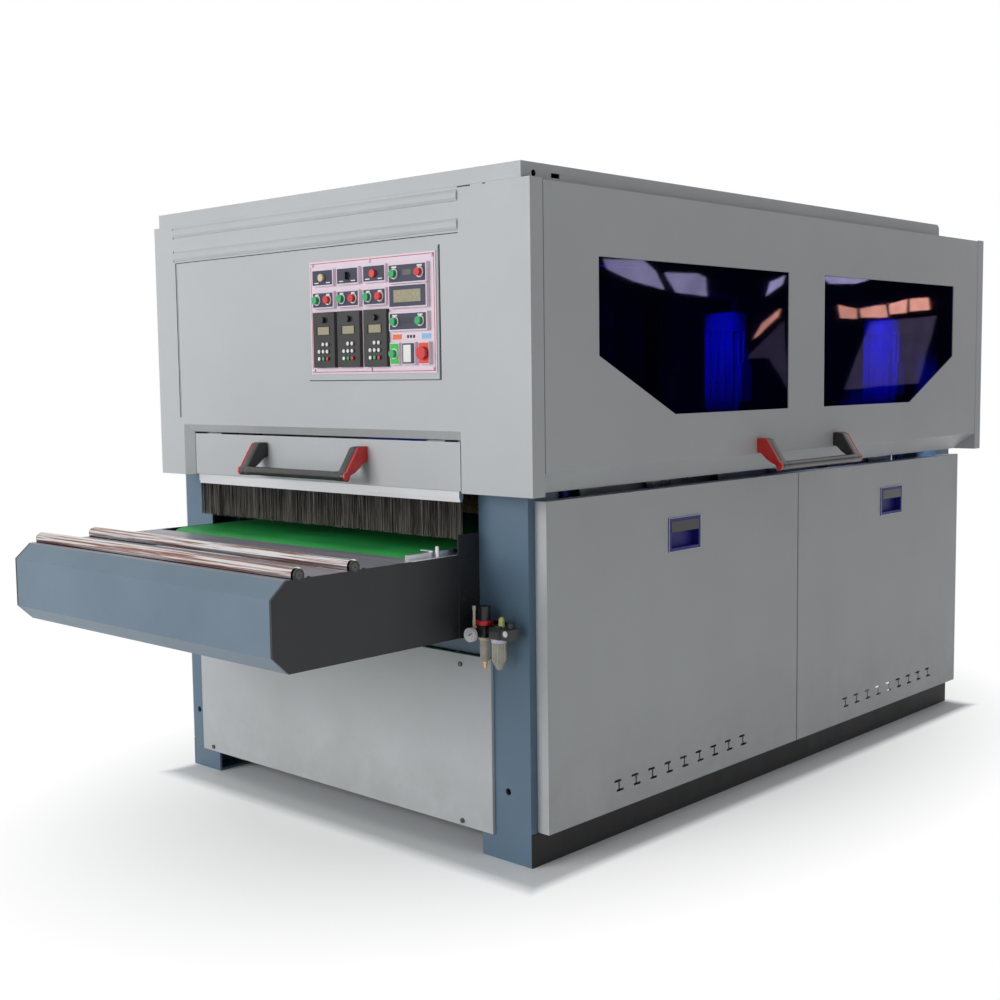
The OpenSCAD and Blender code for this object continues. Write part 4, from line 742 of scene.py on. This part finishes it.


# Folded band and painted seam shadows of the hood
def hood_lines():
    """Folded band under the roof and dark strips of painted shadow along the joints around the control
    section.
    """
    rib_x0, rib_x1 = -708, 611
    # Rib outline: distance in front of the sheet and height from the rib's middle
    rib = ((0.2, -15), (5, -6), (5, 6), (0.2, 15))
    bm = bmesh.new()
    for z in (1846, 1770):
        slab_into(bm, [(FRONT_Y - d, z + dz) for d, dz in rib], rib_x0, rib_x1)
    piece("hood_fold_ribs", bm, [PAINT], "housing")

    # Dark strips along the joints: painted shadow of the gaps between the sheets
    wide, thin = 2.6, 1.2
    left_x, right_x = -701, 540
    seam_shadows = (
        (left_x - wide, left_x + wide, 1240, 1748),
        (left_x, rib_x1, 1748 - thin, 1748 + thin),
        (-711 - thin, -711 + thin, 1752, 1790),
        (-711 - thin, -711 + thin, 1826, 1862),
        (right_x - wide, right_x + wide, 1358, 1722),
        (-20, right_x, 1358 - thin, 1358 + thin),
        (612, 660, 1866, 1869),
        (706, 714, 1866, 1869),
    )
    bm = bmesh.new()
    for x_a, x_b, z_a, z_b in seam_shadows:
        box_into(bm, (x_a, FRONT_Y - 0.6, z_a), (x_b, FRONT_Y + 0.5, z_b))
    piece("hood_seam_shadows", bm, [SEAM_SHADE], "housing")

    # Folded lips that catch the light beside the two upright joints
    half = 1.6
    bm = bmesh.new()
    for x, z_a, z_b in ((left_x + 5, 1242, 1744), (right_x - 6, 1360, 1720)):
        box_into(bm, (x - half, FRONT_Y - half, z_a), (x + half, FRONT_Y + 0.5, z_b))
    piece("hood_joint_lips", bm, [PAINT], "housing", bevel=0.0008)


hood_lines()


# Control plate
def plate_details():
    """Border print, block fronts, labels, keypad keys and button bezels of the control plate."""
    lo, hi = mm_box("control_plate")
    plate_w, plate_h = 533, 330
    keypad_h, key_pitch = 162, 18
    face = FRONT_Y - 3
    block = face - 12

    # Red printed border on the plate
    inset = 5
    bm = bmesh.new()
    for x0, x1, z0, z1 in frame_bars(lo.x + inset, hi.x - inset, lo.z + inset, hi.z - inset, 2):
        box_into(bm, (x0, face - 0.5, z0), (x1, face + 0.2, z1))
    piece("plate_border_print", bm, [PINK], "housing")

    # Middles of the blocks: three columns of rows, the wide blocks, and the stop row below them
    cols = [lo.x + share * plate_w for share in (0.135, 0.343, 0.557)]
    lamp_z, button_z, keypad_z = [lo.z + share * plate_h for share in (0.852, 0.655, 0.303)]
    wide_x = lo.x + 0.812 * plate_w
    upper_z, screen_z, lower_z = [lo.z + share * plate_h for share in (0.833, 0.645, 0.433)]
    feed_x, switch_x, stop_x = [lo.x + share * plate_w for share in (0.707, 0.812, 0.927)]
    stop_z = lo.z + 0.164 * plate_h

    def front(x, z, w, h, index, proud=0.8):
        """A printed field on the blocks, in front of their face by proud."""
        near, far = block - proud, block + 0.2
        box_into(bm, (x - w / 2, near, z - h / 2), (x + w / 2, far, z + h / 2), index)

    # Dark printed fronts of the blocks with their screen, switch and inlays
    navy, screen, zinc, black, lime, white, rust = range(7)
    bm = bmesh.new()
    for x in cols:
        front(x, lamp_z, 88, 42, navy)
        front(x, button_z, 88, 41, navy)
    front(wide_x, upper_z, 145, 47, navy)
    front(wide_x, screen_z, 145, 57, navy)
    front(wide_x, lower_z, 145, 44, navy)
    front(wide_x, screen_z, 108, 34, screen, 1.6)
    front(wide_x, upper_z + 2, 34, 16, zinc, 1.4)
    front(wide_x, lower_z + 2, 34, 12, black, 1.4)
    front(feed_x, stop_z, 33, 56, lime)
    front(switch_x, stop_z, 48, 56, navy)
    front(switch_x - 4, stop_z, 30, 48, white, 1.4)
    front(stop_x, stop_z, 38, 56, rust)
    # Small printed lines next to the lamps and buttons
    for x in cols:
        for way in (-1, 1):
            front(x + 26 * way, lamp_z - 15, 18, 3, white, 1.2)
            front(x + 25 * way, button_z + 16, 16, 3, white, 1.2)
    for way in (-1, 1):
        front(wide_x + 51 * way, upper_z + 18, 20, 5, white, 1.2)
        front(wide_x + 51 * way, lower_z + 17, 20, 4, white, 1.2)
    materials = [NAVY, SCREEN, ZINC, BLACK, LIME, WHITE, RUST]
    piece("block_fronts", bm, materials, "housing")

    # Labels between the blocks and the stop row
    z = (stop_z + 31 + lower_z - 26) / 2
    bm = bmesh.new()
    labels = [(feed_x, 18, 7, 0), (stop_x, 18, 7, 2)]
    labels += [(switch_x + s, 4, 4, 1) for s in (-12, 0, 12)]
    for x, half_w, half_h, index in labels:
        near, far = face - 0.8, face + 0.1
        box_into(bm, (x - half_w, near, z - half_h), (x + half_w, far, z + half_h), index)
    piece("plate_labels", bm, [ORANGE, BLACK, SKY], "housing")

    # Keypads: a pale screen over three rows of keys, with a green and a red key in the last row
    key = [(-1, 5.6), (1.4, 5.6), (2.2, 4.6), (2.4, 0)]
    key_rows = ((None, 1, 1), (1, 1, 1), (1, 2, 3))
    bm = bmesh.new()
    for x in cols:
        front(x, keypad_z + keypad_h * 0.165, 50, 22, 0, 1.0)
        for row, indices in enumerate(key_rows):
            key_z = keypad_z - keypad_h * (0.08 + 0.13 * row)
            for col, index in enumerate(indices):
                if index is not None:
                    place = (x + (col - 1) * key_pitch, block - 3, key_z)
                    turned_into(bm, place, TO_FRONT, key, 20, index)
    piece("keypad_keys", bm, [SCREEN, WHITE, GREEN, RED], "housing")

    # Pale bezels round the push buttons; the emergency stop has none
    bezel = [(0, 15), (2.4, 15), (3.2, 14), (3.2, 11.6), (0.5, 11.6)]
    bm = bmesh.new()
    for button in BUTTONS:
        if button != "emergency_stop":
            b_lo, b_hi = mm_box(button)
            place = ((b_lo.x + b_hi.x) / 2, block, (b_lo.z + b_hi.z) / 2)
            turned_into(bm, place, TO_FRONT, bezel, 36)
    piece("button_bezels", bm, [WHITE], "housing")


plate_details()


# Air unit
def air_unit():
    """Filter regulator and oiler: blocks, clear bowls, gauge, angled fitting and sight dome."""
    # Axis of the regulator, middle height of the blocks, and axis of the oiler
    air_x, air_y, air_z = 615, -1165, 663
    spacing, half_d, half_h, half_w = 54, 20, 17, 20
    oil_x = air_x + spacing
    y0, y1 = air_y - half_d, air_y + half_d
    z0, z1 = air_z - half_h, air_z + half_h
    bracket_y, bracket_t = -1121, 3

    bm = bmesh.new()
    for x in (air_x, oil_x):
        box_into(bm, (x - half_w, y0, z0), (x + half_w, y1, z1))
        box_into(bm, (x - 16, y0 - 1, z0 + 5), (x + 16, y0 + 1, z1 - 9))
        turned_into(bm, (x, air_y, z1), UP, [(-1, 19), (3, 19), (4, 18)], 36)
    box_into(bm, (oil_x + half_w, y0 + 2, z0 + 1), (oil_x + 59, y1 - 2, z1 - 1))
    turned_into(bm, (air_x, air_y, air_z), TO_RIGHT, [(0, 11), (spacing, 11)], 28)
    box_into(bm, (air_x, air_y, air_z - 8), (oil_x, bracket_y, air_z + 8))
    box_into(bm, (air_x - 6, bracket_y - bracket_t, air_z - 22), (oil_x + 6, bracket_y, air_z + 22))
    blocks = piece("air_unit_blocks", bm, [BLACK], "housing", bevel=0.0015)
    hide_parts("air_unit")

    # Bowls with collars, inner tube, guard bars and drain
    clear, ivory, collar, brass = range(4)
    filter_bowl = [(8, 15), (60, 14), (66, 12), (70, 8), (70, 0)]
    oil_bowl = [(9, 20), (61, 20), (72, 15), (86, 7), (86, 0)]
    drain = [(-1, 7), (5, 7), (6, 5), (17, 5), (19, 3), (23, 2.4)]
    guard_bars, guard_r = 6, 20.4
    bm = bmesh.new()
    turned_into(bm, (air_x, air_y, z0), DOWN, [(-1, 17), (8, 17), (9, 16)], 36, ivory)
    turned_into(bm, (air_x, air_y, z0), DOWN, filter_bowl, 36, clear)
    turned_into(bm, (air_x, air_y, z0), DOWN, [(20, 6), (48, 6)], 20, ivory)
    turned_into(bm, (oil_x, air_y, z0), DOWN, [(-1, 22), (8, 22), (10, 21)], 40, collar)
    turned_into(bm, (oil_x, air_y, z0), DOWN, oil_bowl, 40, clear)
    for k in range(guard_bars):
        a = 2 * math.pi / guard_bars * k
        x, y = oil_x + guard_r * math.cos(a), air_y + guard_r * math.sin(a)
        tube_into(bm, [(x, y, z0 - 10), (x, y, z0 - 60)], 0.9, 6, ivory)
    turned_into(bm, (air_x, air_y, z0 - 70), DOWN, drain, 24, brass)
    materials = [BOWL, IVORY, COLLAR, BRASS]
    piece("air_unit_bowls", bm, materials, "housing", bevel=0.0006)

    # Gauge with its ticks, pointer and hub
    dial, brass, black = range(3)
    gx, gz = air_x - 18, air_z - 9
    case = [(0, 17), (3, 20), (15, 20), (17, 19.4), (17, 18), (15.4, 17.6), (15.4, 0)]
    case_y = y0 - 8
    face = case_y - 15.4
    tick_r, ticks = 13.5, 9
    bm = bmesh.new()
    turned_into(bm, (gx, y0, gz), TO_FRONT, [(-1, 6), (8, 6)], 24, brass)
    turned_into(bm, (gx, case_y, gz), TO_FRONT, case, 40, dial)
    for k in range(ticks):
        a = math.radians(225 - 33.75 * k)
        x, z = gx + tick_r * math.cos(a), gz + tick_r * math.sin(a)
        turned_into(bm, (x, face, z), TO_FRONT, [(-0.2, 1.1), (0.25, 1.1)], 8, black)
    for k in range(4):
        x, z = gx + 3.0 * k - 1, gz + 2.2 * k - 1
        box_into(bm, (x - 1.4, face - 0.4, z - 1.0), (x + 1.4, face + 0.1, z + 1.0), black)
    turned_into(bm, (gx, face, gz), TO_FRONT, [(0, 2.4), (0.9, 2.2)], 16, black)
    piece("pressure_gauge", bm, [DIAL, BRASS, BLACK], "housing")

    # Hose fitting, sight dome, label disc and plug
    ivory, sight, white, black = range(4)
    fx, fy = air_x - 23, y0 + 2.5
    stem = [(-10, 5), (12, 5), (14, 4), (38, 4), (40, 5), (52, 5)]
    dome = [(0, 10), (6, 10), (8, 9), (20, 8.5), (26, 6), (29, 0)]
    bm = bmesh.new()
    tube_into(bm, [(fx, fy, z1 + dz) for dz, r in stem], [r for dz, r in stem], 20, ivory)
    tube_into(bm, [(fx, fy, z1 - 6), (air_x - 12, fy, z1 - 6)], 5, 20, ivory)
    turned_into(bm, (oil_x + 10, air_y, z1), UP, dome, 28, sight)
    disc = [(-1, 8.6), (1.4, 8.6), (2, 8)]
    turned_into(bm, (oil_x + 40, y0 + 2, air_z + 3), TO_FRONT, disc, 28, white)
    turned_into(bm, (oil_x + 42, air_y, z1 - 1), UP, [(0, 9), (14, 9), (16, 7)], 24, black)
    materials = [IVORY, SIGHT, WHITE, BLACK]
    piece("air_unit_fittings", bm, materials, "housing", bevel=0.0005)


air_unit()


# Ends of the support rollers and rims of the panel pulls
def roller_ends():
    """Black bearing rings with pale caps in the table sides, and the set screws behind them."""
    black, zinc = range(2)
    ring = [(-4, 16.4), (0.8, 16.4), (1.2, 15.8), (1.2, 10.5), (0.4, 10.5)]
    cap = [(-3, 10.4), (0.9, 10.4), (1.1, 9.6), (1.1, 3.2), (0.2, 3.2)]
    screw = [(-1, 4.5), (2.4, 4.5), (3.2, 3.6)]
    screw_in, screw_back, table_z = 4, 34, 872
    bm = bmesh.new()
    for node in ("support_roller_front", "support_roller_rear"):
        lo, hi = mm_box(node)
        y, z = (lo.y + hi.y) / 2, (lo.z + hi.z) / 2
        for x, way in ((hi.x, 1), (lo.x, -1)):
            outward = (way, 0, 0)
            turned_into(bm, (x, y, z), outward, ring, 40, black)
            turned_into(bm, (x, y, z), outward, cap, 32, zinc)
            # Black centre disc: painted shade standing in for the dark hole in the middle of each cap
            turned_into(bm, (x, y, z), outward, [(-2, 3.1), (0.6, 3.1)], 16, black)
            screw_place = (x - way * screw_in, y + screw_back, table_z)
            turned_into(bm, screw_place, UP, screw, 20, black)
    piece("support_roller_ends", bm, [BLACK, ZINC], "housing")


roller_ends()


def pull_rims():
    """Pale bead round each panel pull and the dark finger bar across its upper part."""
    bead, bar_in, bar_z0, bar_z1 = 1.6, 12, -44, -11
    for end in ("front", "rear"):
        node = end + "_panel_pull"
        lo, hi = mm_box(node)
        x = hi.x
        bm = bmesh.new()
        for y0, y1, z0, z1 in frame_bars(lo.y, hi.y, lo.z, hi.z, bead):
            box_into(bm, (x - 0.4, y0, z0), (x + 0.7, y1, z1), 0)
        bar_lo = (x - 1.0, lo.y + bar_in, hi.z + bar_z0)
        bar_hi = (x + 0.9, hi.y - bar_in, hi.z + bar_z1)
        box_into(bm, bar_lo, bar_hi, 1)
        piece(node + "_rim", bm, [WHITE, BLACK], end + "_lower_panel", bevel=0.0003)


pull_rims()


# Stage, lights and camera
def floor():
    """White floor that fades into the backdrop and keeps the machine's shadow beside it."""
    half = 30
    bm = bmesh.new()
    corners = ((-half, -half), (half, -half), (half, half), (-half, half))
    bm.faces.new([bm.verts.new((x, y, 0)) for x, y in corners])
    mesh = mesh_from("floor", bm)
    obj = link_object("floor", mesh)
    n = Nodes("pale_floor")
    cloud = n.noise(n.place(), 0.6, 4)
    base = n.mix(n.ramp(cloud, 0.3, 0.7), (0.93, 0.93, 0.93, 1), (0.96, 0.96, 0.96, 1))
    lit = n.surface(base, 0.75)
    glow = n.add("ShaderNodeEmission", Color=(1, 1, 1, 1), Strength=1.0)
    # The floor fades into the white backdrop away from the machine
    fade_near, fade_far = 1.4, 2.3
    length = n.add("ShaderNodeVectorMath")
    length.operation = "LENGTH"
    n.put(length.inputs[0], n.place((1.6, 1.0, 1.0)))
    fade = n.ramp(length.outputs["Value"], fade_near, fade_far, 0.5, 1.0)
    path = n.add("ShaderNodeLightPath")
    seen = n.math("MAXIMUM", path.outputs["Is Camera Ray"], path.outputs["Is Transmission Ray"])
    fade = n.math("MULTIPLY", fade, n.math("MAXIMUM", seen, path.outputs["Is Glossy Ray"]))
    # No glow under the machine, where the vents and gaps look through
    under_x, under_y, middle_y = 0.86, 1.36, 0.105
    across = n.math("DIVIDE", n.math("ABSOLUTE", n.axis(0)), under_x)
    along = n.math("ABSOLUTE", n.math("SUBTRACT", n.axis(1), middle_y))
    along = n.math("DIVIDE", along, under_y)
    outside = n.ramp(n.math("MAXIMUM", across, along), 0.97, 1.02)
    fade = n.math("MULTIPLY", fade, outside)
    blend = n.add("ShaderNodeMixShader")
    n.put(blend.inputs[0], fade)
    n.put(blend.inputs[1], lit)
    n.put(blend.inputs[2], glow.outputs[0])
    mesh.materials.append(n.done(blend.outputs[0]))


floor()


def lamp(name, kind, place, target, power, color):
    """A light of a kind that looks at a point."""
    data = bpy.data.lights.new(name, kind)
    data.energy = power
    data.color = color
    obj = link_object(name, data)
    obj.location = place
    obj.rotation_euler = (Vector(target) - Vector(place)).to_track_quat("-Z", "Y").to_euler()
    return data


def area_light(name, place, target, size, power, color=(1, 1, 1)):
    """Large soft light of the studio."""
    data = lamp(name, "AREA", place, target, power, color)
    data.shape = "RECTANGLE"
    data.size, data.size_y = size


area_light("key", (-2.2, -8.5, 2.9), (0, 0, 0.8), (5, 3.4), 335)
area_light("fill", (7.5, -2.0, 3.0), (0, 0, 1.0), (4, 3), 19, (1, 0.88, 0.60))
area_light("top", (0, 0, 6.5), (0, 0, 0), (6, 6), 80)


def motor_light(name, brush, power):
    """Narrow lamp inside the housing, aimed at the motor over a brush."""
    y = (FIRST_BRUSH_Y + (brush - 1) * BRUSH_PITCH) * MM
    data = lamp(name, "SPOT", (0.80, y - 0.42, 1.72), (0.66, y, 1.40), power, (0.7, 0.8, 1))
    data.spot_size = math.radians(34)
    data.spot_blend = 0.7
    data.shadow_soft_size = 0.04


motor_light("inside_middle", 3, 42)
motor_light("inside_far", 6, 75)

CAMERA_PLACE = Vector((3.217693, -3.886923, 1.372978))
# Plane of the right windows and distance of the cards from them, in metres
GLASS_X = 0.867
CARD_REACH = 3.0


def reflection_card(name, outline, color, strength, reach=CARD_REACH):
    """A glowing card whose mirror image fills an outline (Y, Z in mm) on the windows."""
    bm = bmesh.new()
    corners = []
    for y, z in outline:
        on_glass = Vector((GLASS_X, y * MM, z * MM))
        ray = (on_glass - CAMERA_PLACE).normalized()
        ray.x = -ray.x
        corners.append(bm.verts.new(on_glass + ray * reach))
    bm.faces.new(corners)
    mesh = mesh_from(name, bm)
    obj = link_object(name, mesh)
    n = Nodes(name)
    tone = n.noise(n.place(), 9, 3)
    glow = n.add("ShaderNodeEmission", Color=color)
    n.put(glow.inputs["Strength"], n.ramp(tone, 0.3, 0.7, strength * 0.8, strength * 1.15))
    mesh.materials.append(n.done(glow.outputs[0]))
    # Seen in the glossy surfaces alone: it neither lights nor shades the machine
    obj.visible_camera = False
    obj.visible_diffuse = False
    obj.visible_shadow = False


LILAC, SALMON, DUSK = (0.50, 0.46, 0.72, 1), (0.95, 0.42, 0.30, 1), (0.30, 0.24, 0.42, 1)
NIGHT = (0.02, 0.02, 0.05, 1)
HALL = [(-1120, 1190), (1330, 1190), (1330, 1800), (-1120, 1800)]
# Strength and outline of each card
SKYLIGHTS = (
    (9, [(-945, 1680), (-775, 1685), (-705, 1655), (-660, 1605), (-805, 1625), (-930, 1655)]),
    (8, [(-665, 1655), (-505, 1655), (-460, 1645), (-455, 1595), (-610, 1600)]),
    (10, [(-135, 1605), (-110, 1650), (-25, 1675), (-40, 1645)]),
    (9, [(215, 1685), (540, 1685), (440, 1665), (265, 1660)]),
)
BANNERS = (
    (10, [(-200, 1470), (-160, 1515), (-45, 1570), (-60, 1540), (-175, 1480)]),
    (9, [(320, 1590), (450, 1580), (455, 1545), (340, 1545)]),
    (11, [(470, 1580), (645, 1600), (660, 1555), (480, 1550)]),
    (11, [(670, 1605), (820, 1625), (825, 1575), (675, 1565)]),
    (11, [(840, 1625), (995, 1635), (1000, 1590), (850, 1580)]),
)
WALLS = (
    (1.2, [(-240, 1410), (-25, 1530), (0, 1305), (-110, 1410)]),
    (1.6, [(545, 1535), (1065, 1570), (920, 1315), (365, 1305)]),
)
reflection_card("dark_hall", HALL, NIGHT, 0.1, CARD_REACH + 0.3)
for kind, color, cards in (
    ("skylight", LILAC, SKYLIGHTS),
    ("banner", SALMON, BANNERS),
    ("wall", DUSK, WALLS),
):
    for i, (strength, outline) in enumerate(cards):
        reflection_card("%s_%d" % (kind, i + 1), outline, color, strength)


def studio_world():
    """White backdrop for the camera and the reflections, with a softer, cooler light beside it."""
    world = bpy.data.worlds.new("studio")
    bpy.context.scene.world = world
    world.use_nodes = True
    tree = world.node_tree
    tree.nodes.clear()
    output = tree.nodes.new("ShaderNodeOutputWorld")
    mix = tree.nodes.new("ShaderNodeMixShader")
    path = tree.nodes.new("ShaderNodeLightPath")
    soft = tree.nodes.new("ShaderNodeBackground")
    soft.inputs[0].default_value = (0.80, 0.86, 0.95, 1)
    soft.inputs[1].default_value = 0.26
    white = tree.nodes.new("ShaderNodeBackground")
    white.inputs[0].default_value = (1, 1, 1, 1)
    white.inputs[1].default_value = 1.0
    seen = path.outputs["Is Camera Ray"]
    for ray in ("Is Glossy Ray", "Is Transmission Ray"):
        either = tree.nodes.new("ShaderNodeMath")
        either.operation = "MAXIMUM"
        tree.links.new(seen, either.inputs[0])
        tree.links.new(path.outputs[ray], either.inputs[1])
        seen = either.outputs[0]
    tree.links.new(seen, mix.inputs[0])
    tree.links.new(soft.outputs[0], mix.inputs[1])
    tree.links.new(white.outputs[0], mix.inputs[2])
    tree.links.new(mix.outputs[0], output.inputs["Surface"])


def camera():
    """Camera fitted to the photo's straight edges."""
    data = bpy.data.cameras.new("photo_view")
    data.sensor_width = 36
    data.lens = 49.477
    data.clip_end = 200
    obj = link_object("photo_view", data)
    yaw, pitch, roll = 0.7505743, 0.0918538, -0.0127100
    forward = Vector((
        -math.sin(yaw) * math.cos(pitch),
        math.cos(yaw) * math.cos(pitch),
        -math.sin(pitch),
    ))
    right = Vector((math.cos(yaw), math.sin(yaw), 0))
    up = right.cross(forward)
    rolled_right = right * math.cos(roll) + up * math.sin(roll)
    rolled_up = up * math.cos(roll) - right * math.sin(roll)
    turn = Matrix((rolled_right, rolled_up, -forward)).transposed().to_4x4()
    obj.matrix_world = Matrix.Translation(CAMERA_PLACE) @ turn
    bpy.context.scene.camera = obj


studio_world()
camera()
bpy.context.scene.view_settings.view_transform = "Standard"
